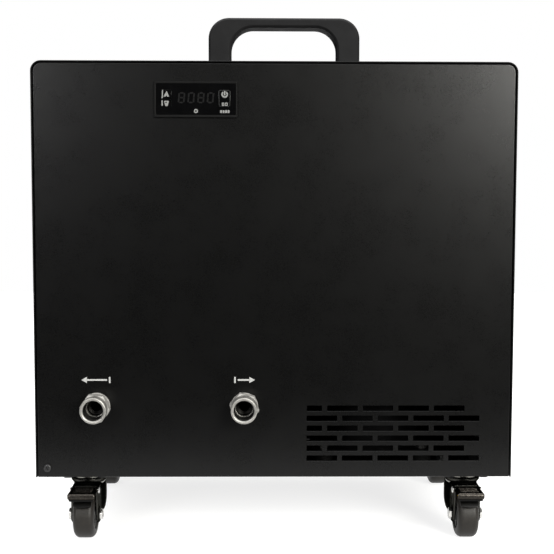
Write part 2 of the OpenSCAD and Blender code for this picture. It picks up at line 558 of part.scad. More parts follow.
module wheel() color([0.17, 0.16, 0.16]) translate([0, -trail, ax_z]) rotate([0, 90, 0]) rotate_extrude() difference() {
    union() {
        translate([3.05, -wheel_w / 2]) square([wheel_r - 3.05 - 5.5, wheel_w]);
        translate([3.05, -wheel_w / 2 + 5.5]) square([wheel_r - 3.05, wheel_w - 11]);
        for (s = [-1, 1]) translate([wheel_r - 5.5, s * (wheel_w / 2 - 5.5)]) circle(5.5);
    }
    for (s = [-1, 1]) translate([8, s > 0 ? wheel_w / 2 - 3 : -wheel_w / 2 - 1]) square([6.5, 4]);
}
module wheel_front_left() at_sw(-1, false) wheel();
module wheel_front_right() at_sw(1, false) wheel();
module wheel_rear_left() at_sw(-1, true) wheel();
module wheel_rear_right() at_sw(1, true) wheel();
module pedal() color([0.66, 0.65, 0.63]) difference() {
    union() {
        translate([0, -26, 48.2]) rodx(-10, 10, 2.6);
        box([-10.6, -33, 49], [10.6, -25.8, 51]);
        box([-13.2, -49, 49], [13.2, -32.2, 51]);
        box([-13.2, -50.6, 44.8], [13.2, -48.4, 49.8]);
        translate([0, -48.8, 49.2]) rodx(-13.2, 13.2, 1.95);
        translate([0, -49.4, 44.8]) rodx(-13.2, 13.2, 1.5);
        translate([0, -trail, ax_z]) rotate([0, 0, 0]) rotate([90, 0, -90]) translate([0, 0, -9]) rotate(25.5) rotate_extrude(angle = 37) translate([26.6, 0]) square([1.5, 18]);
        box([-8.6, -35.4, 44.8], [8.6, -33.2, 49.6]);
    }
    translate([0, -26, 48.2]) rodx(-11, 11, 1.85);
}
module brake_pedal_left() at_sw(-1, false) pedal();
module brake_pedal_right() at_sw(1, false) pedal();

base_pan();
wrap_cover();
front_panel();
rear_panel();
panel_screws();
handle();
handle_screws();
controller_bezel();
controller_window();
controller_case();
controller_board();
key_up();
key_down();
key_power();
outlet_fitting();
inlet_fitting();
fitting_locknuts();
compressor();
compressor_grommets();
terminal_cover();
condenser_tubes();
condenser_fins();
discharge_line();
liquid_line();
suction_line();
filter_drier();
evaporator_barrel();
evaporator_lid();
evaporator_coil();
fan_shroud();
fan_motor();
fan_blades();
pump_volute();
pump_motor();
pump_impeller();
inlet_hose();
transfer_hose();
outlet_hose();
hose_clamps();
electrical_box();
temperature_probe();
power_inlet();
power_rocker();
caster_plates();
mounting_bolts();
swivel_balls();
fork_front_left();
fork_front_right();
fork_rear_left();
fork_rear_right();
axle_front_left();
axle_front_right();
axle_rear_left();
axle_rear_right();
wheel_front_left();
wheel_front_right();
wheel_rear_left();
wheel_rear_right();
brake_pedal_left();
brake_pedal_right();
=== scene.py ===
import math
import bpy
import bmesh
from mathutils import Vector, Matrix
from mathutils.geometry import tessellate_polygon


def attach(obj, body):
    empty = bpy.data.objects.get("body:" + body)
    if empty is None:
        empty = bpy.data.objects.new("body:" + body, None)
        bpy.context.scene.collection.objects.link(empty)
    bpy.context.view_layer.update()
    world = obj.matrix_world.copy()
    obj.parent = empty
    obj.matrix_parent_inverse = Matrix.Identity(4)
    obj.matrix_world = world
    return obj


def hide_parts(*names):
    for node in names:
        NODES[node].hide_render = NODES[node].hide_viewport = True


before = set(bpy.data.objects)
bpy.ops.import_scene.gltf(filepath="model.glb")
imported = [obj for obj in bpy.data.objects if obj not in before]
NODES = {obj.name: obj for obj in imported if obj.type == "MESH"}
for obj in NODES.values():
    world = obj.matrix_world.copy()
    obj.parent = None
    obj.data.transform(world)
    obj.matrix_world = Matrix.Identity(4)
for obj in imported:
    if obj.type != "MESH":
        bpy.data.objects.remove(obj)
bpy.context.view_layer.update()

scene = bpy.context.scene

# ---------------------------------------------------------------- sizes, mm, as in the CAD
YF, YB, GZ, TOP = -129.8, 150.2, 66.0, 464.0
PF, PB = YF + 0.6, YB - 0.6
FL, BL = PF + 1.2, PB - 1.2
PW = 228.5
HALF = 230.5
LOW = GZ - 1.0
CTL = (-74.8, 427.6)
PORT_Z = 134.6
SWIVEL = {"front_left": (-185.8, YF + 41), "front_right": (190.2, YF + 41), "rear_left": (-190.2, YB - 41), "rear_right": (194.6, YB - 41)}
FAN = (95.0, 205.0)

# ---------------------------------------------------------------- materials


def shader(name, a, b, rough, scale=40.0, metallic=0.0, bump=0.0, grain=900.0, spec=0.5, coat=0.0, stretch=None, aniso=0.0, detail=4.0, dist=0.0002, sheen=0.0, edge=None):
    """A Principled material whose colour and roughness wander between two values and whose surface has a fine grain."""
    m = bpy.data.materials.new(name)
    m.use_nodes = True
    t = m.node_tree
    n, l = t.nodes, t.links
    n.clear()
    out = n.new("ShaderNodeOutputMaterial")
    p = n.new("ShaderNodeBsdfPrincipled")
    l.new(p.outputs["BSDF"], out.inputs["Surface"])
    p.inputs["Metallic"].default_value = metallic
    p.inputs["Specular IOR Level"].default_value = spec
    p.inputs["Coat Weight"].default_value = coat
    p.inputs["Coat Roughness"].default_value = 0.08
    p.inputs["Anisotropic"].default_value = aniso
    p.inputs["Sheen Weight"].default_value = sheen
    if edge:
        p.inputs["Specular Tint"].default_value = (*edge, 1.0)
    tc = n.new("ShaderNodeTexCoord")
    mp = n.new("ShaderNodeMapping")
    mp.inputs["Scale"].default_value = stretch or (1.0, 1.0, 1.0)
    l.new(tc.outputs["Object"], mp.inputs["Vector"])
    wide = n.new("ShaderNodeTexNoise")
    wide.inputs["Scale"].default_value = scale
    wide.inputs["Detail"].default_value = detail
    wide.inputs["Roughness"].default_value = 0.6
    l.new(mp.outputs["Vector"], wide.inputs["Vector"])
    fine = n.new("ShaderNodeTexNoise")
    fine.inputs["Scale"].default_value = grain
    fine.inputs["Detail"].default_value = 3.0
    fine.inputs["Roughness"].default_value = 0.55
    l.new(mp.outputs["Vector"], fine.inputs["Vector"])
    add = n.new("ShaderNodeMath")
    add.operation = "MULTIPLY_ADD"
    l.new(fine.outputs["Fac"], add.inputs[0])
    add.inputs[1].default_value = 0.5
    half = n.new("ShaderNodeMath")
    half.operation = "MULTIPLY"
    l.new(wide.outputs["Fac"], half.inputs[0])
    half.inputs[1].default_value = 0.5
    l.new(half.outputs[0], add.inputs[2])
    ramp = n.new("ShaderNodeValToRGB")
    ramp.color_ramp.elements[0].position = 0.32
    ramp.color_ramp.elements[0].color = (*a, 1.0)
    ramp.color_ramp.elements[1].position = 0.68
    ramp.color_ramp.elements[1].color = (*b, 1.0)
    l.new(add.outputs[0], ramp.inputs["Fac"])
    l.new(ramp.outputs["Color"], p.inputs["Base Color"])
    mr = n.new("ShaderNodeMapRange")
    mr.inputs["From Min"].default_value = 0.3
    mr.inputs["From Max"].default_value = 0.7
    mr.inputs["To Min"].default_value = rough[0]
    mr.inputs["To Max"].default_value = rough[1]
    l.new(add.outputs[0], mr.inputs["Value"])
    l.new(mr.outputs["Result"], p.inputs["Roughness"])
    if bump:
        bp = n.new("ShaderNodeBump")
        bp.inputs["Strength"].default_value = bump
        bp.inputs["Distance"].default_value = dist
        l.new(fine.outputs["Fac"], bp.inputs["Height"])
        l.new(bp.outputs["Normal"], p.inputs["Normal"])
    return m


POWDER = shader("powder_coat_black", (0.0006, 0.0006, 0.0006), (0.0015, 0.0015, 0.00145), (0.26, 0.3), scale=26.0, bump=0.35, grain=1150.0, dist=0.00012, spec=0.22)
POWDER_COVER = shader("powder_coat_cover", (0.0006, 0.0006, 0.0006), (0.0015, 0.0015, 0.00145), (0.42, 0.48), scale=26.0, bump=0.35, grain=1150.0, dist=0.00012, spec=0.12)
HANDLE = shader("handle_nylon", (0.0088, 0.0088, 0.0092), (0.0142, 0.0142, 0.0146), (0.4, 0.52), scale=60.0, bump=0.35, grain=1500.0, dist=0.0001, spec=0.06, edge=(0.3, 0.3, 0.3))
FRAME_P = shader("bezel_plastic", (0.0032, 0.0032, 0.0032), (0.0052, 0.0052, 0.0051), (0.4, 0.5), scale=90.0, bump=0.25, grain=2500.0, dist=0.00006, spec=0.05)
LENS = shader("lens_gloss", (0.0008, 0.0008, 0.0009), (0.0014, 0.0014, 0.0015), (0.07, 0.11), scale=60.0, bump=0.02, grain=300.0, spec=0.4, dist=0.00003)
GHOST = shader("unlit_segment", (0.0012, 0.0012, 0.0012), (0.0022, 0.0022, 0.00215), (0.4, 0.5), scale=1500.0, bump=0.05, grain=2400.0, dist=0.00002, spec=0.1)
INK = shader("white_print", (0.208, 0.208, 0.204), (0.336, 0.336, 0.328), (0.45, 0.6), scale=900.0, bump=0.1, grain=2400.0, dist=0.00003)
KEY_INK = shader("key_print", (0.0935, 0.0935, 0.09075), (0.1705, 0.1705, 0.165), (0.4, 0.55), scale=1400.0, bump=0.1, grain=2400.0, dist=0.00003)
# a dark grey a little lighter than the key caps, for a ring just inside the power key's edge: a painted highlight along
# the edge
KEY_EDGE_PAINTED_HIGHLIGHT = shader("key_edge_painted_highlight", (0.002, 0.0021, 0.0018), (0.004, 0.0041, 0.0036), (0.4, 0.55), scale=900.0)
NICKEL = shader("port_nickel", (0.184, 0.179, 0.167), (0.285, 0.278, 0.26), (0.34, 0.46), scale=160.0, metallic=0.66, bump=0.14, grain=1500.0, stretch=(1.0, 0.25, 1.0), dist=0.00006)
# a lighter, less metallic copy of the port nickel for the barrel and hexagon, brightening them: painted light
NICKEL_PAINTED_LIGHT = shader("port_nickel_painted_light", (0.2, 0.195, 0.183), (0.31, 0.302, 0.284), (0.34, 0.46), scale=160.0, metallic=0.3, bump=0.14, grain=1500.0, stretch=(1.0, 0.25, 1.0), dist=0.00006)
ZINC = shader("zinc_bright", (0.5, 0.49, 0.47), (0.68, 0.67, 0.65), (0.2, 0.34), scale=320.0, metallic=1.0, bump=0.08, grain=1800.0, dist=0.00005)
# darkened copies of the port nickel for the inside of the bore: painted shade; the thread near black, the shoulder deep
# inside a little lighter
THREAD_PAINTED_SHADE = shader("port_thread_painted_shade", (0.012, 0.012, 0.011), (0.022, 0.021, 0.02), (0.42, 0.55), scale=200.0, metallic=1.0, bump=0.1, grain=1500.0, dist=0.00004)
BORE_STEP_PAINTED_SHADE = shader("port_bore_step_painted_shade", (0.08, 0.078, 0.072), (0.14, 0.135, 0.125), (0.35, 0.45), scale=200.0, metallic=1.0, bump=0.1, grain=1500.0, dist=0.00004)
CASTER = shader("caster_black_zinc", (0.018, 0.018, 0.0162), (0.045, 0.0438, 0.0396), (0.2, 0.32), scale=240.0, metallic=1.0, bump=0.14, grain=1500.0, dist=0.00006, edge=(0.16, 0.16, 0.145))
# a far lighter, glossier copy of the caster's black zinc for thin bands on the race, crown and web edge: painted
# highlight arcs
RACE_PAINTED_HIGHLIGHT = shader("caster_race_painted_highlight", (0.13, 0.127, 0.115), (0.24, 0.234, 0.212), (0.18, 0.28), scale=240.0, metallic=1.0, bump=0.12, grain=1500.0, dist=0.00005)
# the warm brown tint in this zinc's colour and edge tint is a painted reflection of brown surroundings
PEDAL = shader("pedal_black_zinc_painted_brown_reflection", (0.017, 0.0155, 0.0135), (0.044, 0.0395, 0.035), (0.2, 0.32), scale=300.0, metallic=1.0, bump=0.2, grain=1300.0, dist=0.00007, edge=(0.15, 0.135, 0.115))
SCREW = shader("screw_black", (0.006, 0.006, 0.006), (0.012, 0.012, 0.012), (0.32, 0.44), scale=600.0, bump=0.1, grain=3000.0, dist=0.00004, spec=0.35)
# near black, far darker than the pedal's zinc, for the shoe, the link and the plate under the pedal lip: a black shoe,
# and painted shade under the lip
SHOE_BLACK_AND_PAINTED_SHADE = shader("brake_shoe_black_and_painted_shade", (0.00105, 0.00105, 0.00098), (0.00245, 0.00238, 0.00217), (0.26, 0.38), scale=200.0, bump=0.1, grain=1400.0, dist=0.00005, spec=0.08)
TREAD = shader("wheel_tread", (0.0024, 0.0019, 0.0013), (0.0112, 0.0093, 0.007), (0.4, 0.6), scale=420.0, bump=0.6, grain=900.0, dist=0.00015, spec=0.25)
HUB = shader("wheel_hub", (0.02, 0.02, 0.019), (0.032, 0.031, 0.03), (0.42, 0.55), scale=200.0, bump=0.15, grain=1800.0, dist=0.00006)
GROMMET = shader("grommet_rubber", (0.001, 0.001, 0.001), (0.0018, 0.0018, 0.0018), (0.6, 0.75), scale=120.0, bump=0.3, grain=1100.0, dist=0.0001, spec=0.08)
BLACK_P = shader("moulded_black", (0.012, 0.012, 0.012), (0.02, 0.02, 0.02), (0.45, 0.6), scale=80.0, bump=0.25, grain=1400.0, dist=0.00008)
RUBBER = shader("hose_rubber", (0.01, 0.01, 0.01), (0.018, 0.018, 0.018), (0.6, 0.75), scale=120.0, bump=0.3, grain=1100.0, dist=0.0001)
PAINT = shader("compressor_enamel", (0.0008, 0.0008, 0.0009), (0.0014, 0.0014, 0.0015), (0.34, 0.46), scale=50.0, bump=0.12, grain=500.0, dist=0.0001, spec=0.05)
ALU = shader("black_coated_aluminium", (0.007, 0.007, 0.0072), (0.013, 0.013, 0.0135), (0.5, 0.62), scale=90.0, metallic=0.0, bump=0.1, grain=900.0, stretch=(0.2, 1.0, 1.0), spec=0.25)
# copper darkened far below bright copper, for the pipes inside the cabinet: painted shade
COPPER_PAINTED_SHADE = shader("drawn_copper_painted_shade", (0.063, 0.0262, 0.014), (0.108, 0.0525, 0.0298), (0.25, 0.42), scale=70.0, metallic=1.0, bump=0.06, grain=900.0)
TITAN = shader("drawn_titanium", (0.34, 0.32, 0.3), (0.48, 0.46, 0.43), (0.28, 0.4), scale=110.0, metallic=1.0, bump=0.06, grain=900.0)
BOARD = shader("circuit_green", (0.01, 0.06, 0.025), (0.016, 0.1, 0.04), (0.3, 0.45), scale=300.0, bump=0.1, grain=1500.0)
WHITE_P = shader("white_nylon", (0.55, 0.55, 0.52), (0.7, 0.7, 0.67), (0.45, 0.6), scale=90.0, bump=0.1, grain=1200.0)

# ---------------------------------------------------------------- mesh tools


class Mesh:
    """Collects closed shells in millimetres."""

    def __init__(self):
        self.v, self.f, self.m = [], [], []

    def add(self, verts, faces, mat=0, at=None):
        o = len(self.v)
        self.v += [tuple(at @ Vector(p)) if at is not None else tuple(p) for p in verts]
        self.f += [tuple(i + o for i in f) for f in faces]
        self.m += [mat] * len(faces)
        return self

    def rings(self, rings, mat=0, at=None, cap=True, loop=False):
        """Skins rings of equal length; cap fills both ends, loop joins the last ring to the first."""
        s, v, f = len(rings[0]), [p for r in rings for p in r], []
        k = len(rings)
        for i in range(k if loop else k - 1):
            a, b = i * s, ((i + 1) % k) * s
            f += [(a + j, a + (j + 1) % s, b + (j + 1) % s, b + j) for j in range(s)]
        if cap and not loop:
            f += [tuple(range(s)), tuple(range((k - 1) * s, k * s))[::-1]]
        return self.add(v, f, mat, at)

    def plate(self, outer, holes, place, t, front=0.3, back=0.3, seg=3, mat=0, at=None, chamfer=False):
        """A plate cut to a 2-D outline with holes; place(u, v, depth) gives the point. Its edges are rounded, or chamfered."""
        loops = [outer] + holes
        sign = [1.0] + [-1.0] * len(holes)
        steps = []
        for q in range(seg + 1):
            a = 0.5 * math.pi * q / seg
            if chamfer:
                steps.append((front * (1 - q / seg), front * q / seg))
            else:
                steps.append((front * (1 - math.sin(a)), front * (1 - math.cos(a))))
        for q in range(seg, -1, -1):
            a = 0.5 * math.pi * q / seg
            if chamfer:
                steps.append((back * (1 - q / seg), t - back * q / seg))
            else:
                steps.append((back * (1 - math.sin(a)), t - back * (1 - math.cos(a))))
        v, f, ends = [], [], []
        for loop, sg in zip(loops, sign):
            s, o = len(loop), len(v)
            for off, d in steps:
                v += [place(x, z, d) for x, z in inset(loop, sg * off)]
            for i in range(len(steps) - 1):
                a, b = o + i * s, o + (i + 1) * s
                f += [(a + j, a + (j + 1) % s, b + (j + 1) % s, b + j) for j in range(s)]
            ends.append((o, o + (len(steps) - 1) * s, s))
        for which, off in ((0, steps[0][0]), (1, steps[-1][0])):
            flat = [[Vector((x, z, 0.0)) for x, z in inset(loop, sg * off)] for loop, sg in zip(loops, sign)]
            index = [e[which] + j for e in ends for j in range(e[2])]
            f += [tuple(index[i] for i in tri) for tri in tessellate_polygon(flat)]
        return self.add(v, f, mat, at)

    def lathe(self, profile, n=48, mat=0, at=None):
        """Turns a closed profile of (radius, height) about Z."""
        rings = [[(r * math.cos(2 * math.pi * k / n), r * math.sin(2 * math.pi * k / n), h) for k in range(n)] for r, h in profile]
        return self.rings(rings, mat, at, loop=True)

    def turned(self, profile, n=48, mat=0, at=None):
        """Turns an open profile that starts and ends on the axis."""
        inner = profile[1:-1]
        rings = [[(r * math.cos(2 * math.pi * k / n), r * math.sin(2 * math.pi * k / n), h) for k in range(n)] for r, h in inner]
        return self.rings(rings, mat, at)

    def flex(self, v0, f0, cuts, move, axis=2):
        """Slices everything added since v0 and f0 across one axis and moves its points, so flat plates can take a bend."""
        bm = bmesh.new()
        vs = [bm.verts.new(p) for p in self.v[v0:]]
        for f, mat in zip(self.f[f0:], self.m[f0:]):
            bm.faces.new([vs[i - v0] for i in f]).material_index = mat
        no = Vector([float(axis == i) for i in range(3)])
        for c in cuts:
            bmesh.ops.bisect_plane(bm, geom=bm.verts[:] + bm.edges[:] + bm.faces[:], dist=1e-5, plane_co=no * c, plane_no=no)
        bm.verts.index_update()
        self.v[v0:] = [move(*v.co) for v in bm.verts]
        self.f[f0:] = [tuple(v.index + v0 for v in f.verts) for f in bm.faces]
        self.m[f0:] = [f.material_index for f in bm.faces]
        bm.free()

    def make(self, name, body, nodes, slot, mats, angle=34.0, keep=False):
        me = bpy.data.meshes.new(name)
        me.from_pydata([(x * 0.001, y * 0.001, z * 0.001) for x, y, z in self.v], [], self.f)
        for m in mats:
            me.materials.append(m)
        me.polygons.foreach_set("material_index", self.m)
        bm = bmesh.new()
        bm.from_mesh(me)
        bmesh.ops.remove_doubles(bm, verts=bm.verts, dist=1e-7)
        bmesh.ops.dissolve_degenerate(bm, edges=bm.edges, dist=1e-7)
        bmesh.ops.recalc_face_normals(bm, faces=bm.faces)
        bm.to_mesh(me)
        bm.free()
        me.update()
        me.shade_smooth()
        me.set_sharp_from_angle(angle=math.radians(angle))
        o = bpy.data.objects.new(name, me)
        scene.collection.objects.link(o)
        w = o.modifiers.new("weighted", "WEIGHTED_NORMAL")
        w.mode = "FACE_AREA"
        w.weight = 80
        w.keep_sharp = True
        if nodes:
            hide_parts(*nodes)
        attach(o, body)
        return o


def inset(loop, d):
    """Moves a counter-clockwise loop inwards by d, mitred."""
    if abs(d) < 1e-9:
        return list(loop)
    n, out = len(loop), []
    for i in range(n):
        (ax, ay), (bx, by), (cx, cy) = loop[i - 1], loop[i], loop[(i + 1) % n]
        ux, uy, vx, vy = bx - ax, by - ay, cx - bx, cy - by
        lu, lv = math.hypot(ux, uy) or 1.0, math.hypot(vx, vy) or 1.0
        n1, n2 = (-uy / lu, ux / lu), (-vy / lv, vx / lv)
        k = max(1.0 + n1[0] * n2[0] + n1[1] * n2[1], 0.25)
        out.append((bx + d * (n1[0] + n2[0]) / k, by + d * (n1[1] + n2[1]) / k))
    return out


def arc(cx, cy, r, a0, a1, n):
    return [(cx + r * math.cos(math.radians(a0 + (a1 - a0) * k / n)), cy + r * math.sin(math.radians(a0 + (a1 - a0) * k / n))) for k in range(n + 1)]


def rsq(x0, z0, x1, z1, r, n=5):
    return arc(x1 - r, z0 + r, r, -90, 0, n) + arc(x1 - r, z1 - r, r, 0, 90, n) + arc(x0 + r, z1 - r, r, 90, 180, n) + arc(x0 + r, z0 + r, r, 180, 270, n)


def circle(cx, cz, r, n=40):
    return [(cx + r * math.cos(2 * math.pi * k / n), cz + r * math.sin(2 * math.pi * k / n)) for k in range(n)]


def arch(w, h, r, z0, cx=0.0, n=10):
    """Counter-clockwise outline of an upright arch with rounded top corners."""
    return [(cx - w / 2, z0), (cx + w / 2, z0)] + arc(cx + w / 2 - r, z0 + h - r, r, 0, 90, n) + arc(cx - w / 2 + r, z0 + h - r, r, 90, 180, n)


def u_loop(w, h, r, wi, hi, ri, z0, cx=0.0, n=10):
    """Counter-clockwise outline of a U standing on its two feet."""
    outer = [(cx + w / 2, z0)] + arc(cx + w / 2 - r, z0 + h - r, r, 0, 90, n) + arc(cx - w / 2 + r, z0 + h - r, r, 90, 180, n) + [(cx - w / 2, z0)]
    inner = [(cx - wi / 2, z0)] + arc(cx - wi / 2 + ri, z0 + hi - ri, ri, 180, 90, n) + arc(cx + wi / 2 - ri, z0 + hi - ri, ri, 90, 0, n) + [(cx + wi / 2, z0)]
    return outer + inner


def front(y0):
    """Places a plate's outline in X and Z, its depth running back from y0."""
    return lambda u, v, d: (u, y0 + d, v)


def rear(y0):
    """The same, its depth running forwards from y0."""
    return lambda u, v, d: (u, y0 - d, v)


def T(x=0.0, y=0.0, z=0.0):
    return Matrix.Translation((x, y, z))


def R(a, axis):
    return Matrix.Rotation(math.radians(a), 4, axis)


# turns +Z into -Y, +Y and +-X, for things drawn standing up
TO_FRONT, TO_REAR = R(90, "X"), R(-90, "X")
TO_RIGHT, TO_LEFT = R(90, "Y"), R(-90, "Y")

# ---------------------------------------------------------------- cabinet sheets


def cover_sheet():
    m = Mesh()
    m.plate(u_loop(2 * HALF, 399, 10, 2 * HALF - 2.4, 397.8, 8.8, LOW, n=12), [], front(YF), 280.0, 0.45, 0.45, 3)
    return m.make("cover_sheet", "cabinet", ["wrap_cover"], "powder_coat", [POWDER_COVER])


def flange(y0, y1, z0, r=8.0, t=1.2):
    """The bent-back edge of a panel: a band along its sides and top."""
    top = TOP - 1.2 - 0.8
    path = [(PW, z0)] + arc(PW - r, top - r, r, 0, 90, 12) + arc(-PW + r, top - r, r, 90, 180, 12) + [(-PW, z0)]
    back = [(-PW + t, z0)] + arc(-PW + r, top - r, r - t, 180, 90, 12) + arc(PW - r, top - r, r - t, 90, 0, 12) + [(PW - t, z0)]
    loop = path + back
    m = Mesh()
    m.plate(loop, [], lambda u, v, d: (u, y0 + d, v), y1 - y0, 0.05, 0.2, 1)
    return m


def panel_outline(r=8.0):
    return arch(2 * PW, TOP - 2.0 - LOW, r, LOW, n=12)


def slots():
    out = []
    for row in range(6):
        z = GZ + 66.4 - row * 9.8
        for k in range(5):
            if row % 2:
                x, w = 31.3 + k * 34.5, 29.8
            elif k == 0:
                x, w = 31.4, 14.9
            else:
                x, w = 51.2 + (k - 1) * 34.5, 29.8
            out.append(rsq(x, z - 2.75, x + w, z + 2.75, 0.35, 2))
    return out


def front_sheet():
    m = flange(FL - 0.02, PF + 12, GZ + 18)
    holes = slots() + [rsq(CTL[0] - 35.5, CTL[1] - 14.5, CTL[0] + 35.5, CTL[1] + 14.5, 1.0, 2), circle(-171.2, PORT_Z, 10.6), circle(-28.8, PORT_Z, 10.6), circle(-219.1, GZ + 8.2, 2.1, 20)]
    outer = panel_outline()
    loops = [outer] + holes
    # the bend at the outline is full, the cut edges of the holes only broken
    bend, cut = 1.15, 0.16
    v, f, fronts, backs = [], [], [], []
    for i, loop in enumerate(loops):
        sg, e, k = (1.0, bend, 5) if i == 0 else (-1.0, cut, 1)
        steps = [(e * (1 - math.sin(0.5 * math.pi * q / k)), e * (1 - math.cos(0.5 * math.pi * q / k))) for q in range(k + 1)] + [(0.0, 1.2)]
        s, o = len(loop), len(v)
        for off, d in steps:
            v += [(x, PF + d, z) for x, z in inset(loop, sg * off)]
        for q in range(len(steps) - 1):
            a, b = o + q * s, o + (q + 1) * s
            f += [(a + j, a + (j + 1) % s, b + (j + 1) % s, b + j) for j in range(s)]
        fronts.append((o, s, sg * steps[0][0]))
        backs.append((o + (len(steps) - 1) * s, s, 0.0))
    for ends in (fronts, backs):
        flat = [[Vector((x, z, 0.0)) for x, z in inset(loop, e[2])] for loop, e in zip(loops, ends)]
        index = [e[0] + j for e in ends for j in range(e[1])]
        f += [tuple(index[i] for i in tri) for tri in tessellate_polygon(flat)]
    m.add(v, f)
    return m.make("front_sheet", "cabinet", ["front_panel"], "powder_coat", [POWDER])


def rear_sheet():
    m = flange(PB - 12, BL + 0.02, GZ + 18)
    holes = []
    fx, fz = FAN
    for i in range(7):
        r0, r1 = 22.0 + 12 * i, 28.0 + 12 * i
        n = 3 + i
        for k in range(8):
            a0, a1 = 45.0 * k, 45.0 * (k + 1)
            i0 = math.degrees(math.asin(3.0 / r0))
            i1 = math.degrees(math.asin(3.0 / r1))
            holes.append(arc(fx, fz, r1, a0 + i1, a1 - i1, n) + arc(fx, fz, r0, a1 - i0, a0 + i0, n))
    holes.append(rsq(-172, 94, -128, 144, 1.0, 2))
    for s in (-1, 1):
        holes.append(circle(s * 215, GZ + 8.8, 2.1, 20))
        for j in (-1, 1):
            holes.append(circle(fx + s * 105, fz + j * 105, 2.1, 20))
    m.plate(panel_outline(), holes, rear(PB), 1.2, 0.2, 0.1, 2)
    return m.make("rear_sheet", "cabinet", ["rear_panel"], "powder_coat", [POWDER])


def pan_head(m, at, r=3.9, h=2.3, shank=2.0, length=8.0, mat=0):
    """A pan-head screw standing up from the origin, its cross recess cut in, its shank going down."""
    n = 32
    dome = [(shank, -length), (shank, 0.0), (r - 0.15, 0.0), (r, 0.3), (r, 0.7)] + [(r - 1.5 * (1 - math.cos(a)), 0.7 + (h - 0.7) * math.sin(a)) for a in (0.35, 0.7, 1.0, 1.3)]
    ring = lambda rr, z: [(rr * math.cos(2 * math.pi * k / n), rr * math.sin(2 * math.pi * k / n), z) for k in range(n)]
    rings = [ring(a, b) for a, b in dome] + [ring(r - 1.62, h)]
    v, f = [p for q in rings for p in q], [tuple(range(n))[::-1]]
    for i in range(len(rings) - 1):
        f += [(i * n + j, i * n + (j + 1) % n, (i + 1) * n + (j + 1) % n, (i + 1) * n + j) for j in range(n)]
    w, g = 0.42, r - 1.95
    cross = [(g, -w), (g, w), (w, w), (w, g), (-w, g), (-w, w), (-g, w), (-g, -w), (-w, -w), (-w, -g), (w, -g), (w, -w)]
    top = (len(rings) - 1) * n
    o = len(v)
    v += [(x, y, h) for x, y in cross] + [(x * 0.72, y * 0.72, h - 1.2) for x, y in cross]
    f += [(o + j, o + (j + 1) % 12, o + 12 + (j + 1) % 12, o + 12 + j) for j in range(12)]
    flat = [[Vector(rings[-1][k][:2] + (0.0,)) for k in range(n)], [Vector((x, y, 0.0)) for x, y in cross]]
    index = [top + k for k in range(n)] + [o + k for k in range(12)]
    f += [tuple(index[i] for i in tri) for tri in tessellate_polygon(flat)]
    f += [tuple(o + 12 + i for i in tri) for tri in tessellate_polygon([[Vector((x, y, 0.0)) for x, y in cross]])]
    m.add(v, f, mat, at)


def screws():
    m = Mesh()
    pan_head(m, T(-219.1, PF, GZ + 8.2) @ TO_FRONT @ R(23, "Z"))
    turn = 10.0
    for s in (-1, 1):
        pan_head(m, T(s * 215, PB, GZ + 8.8) @ TO_REAR @ R(17 * s, "Z"))
        for j in (-1, 1):
            turn += 31
            pan_head(m, T(FAN[0] + s * 105, PB, FAN[1] + j * 105) @ TO_REAR @ R(turn, "Z"))
        side = R(90 * s, "Y")
        for y in (-92, 8, 108):
            turn += 37
            pan_head(m, T(s * HALF, y, GZ + 8) @ side @ R(turn, "Z"))
        for z in (120, 330):
            turn += 41
            pan_head(m, T(s * HALF, YB - 8, GZ + z) @ side @ R(turn, "Z"))
    return m.make("pan_screws", "cabinet", ["panel_screws"], "black_screw", [SCREW], angle=28)


def carry_handle():
    m = Mesh()
    loop = u_loop(160, 61 + 6, 21.7, 112.5, 50.9 + 6, 23.5, TOP - 6, cx=11, n=14)

    def place(u, v, d):
        return (u, YF + 125 + d, max(v, TOP))

    edge = 2.3
    # a flat chamfer with softened borders
    steps = [(edge + 0.35, 0.0), (edge - 0.05, 0.1), (edge - 0.4, 0.38), (0.38, edge - 0.42), (0.1, edge - 0.08), (0.0, edge + 0.35)]
    steps += [(o, 30.0 - d) for o, d in steps[::-1]]
    v, f, s = [], [], len(loop)
    for off, d in steps:
        v += [place(x, z, d) for x, z in inset(loop, off)]
    for i in range(len(steps) - 1):
        a, b = i * s, (i + 1) * s
        f += [(a + j, a + (j + 1) % s, b + (j + 1) % s, b + j) for j in range(s)]
    flat = [Vector((x, z, 0.0)) for x, z in inset(loop, steps[0][0])]
    tri = tessellate_polygon([flat])
    f += [tuple(t) for t in tri] + [tuple((len(steps) - 1) * s + i for i in t) for t in tri]
    m.add(v, f)
    return m.make("carry_handle", "cabinet", ["handle"], "handle_plastic", [HANDLE], angle=40)


# ---------------------------------------------------------------- thermostat
UP, DOWN, POW = (-27.6, 4.6, 9.4, 8.6), (-27.6, -4.4, 9.4, 8.6), (27.2, 1.1, 11.2, 15.8)


def key_loop(k, g, r=1.0):
    return rsq(CTL[0] + k[0] - k[2] / 2 - g, CTL[1] + k[1] - k[3] / 2 - g, CTL[0] + k[0] + k[2] / 2 + g, CTL[1] + k[1] + k[3] / 2 + g, r, 3)


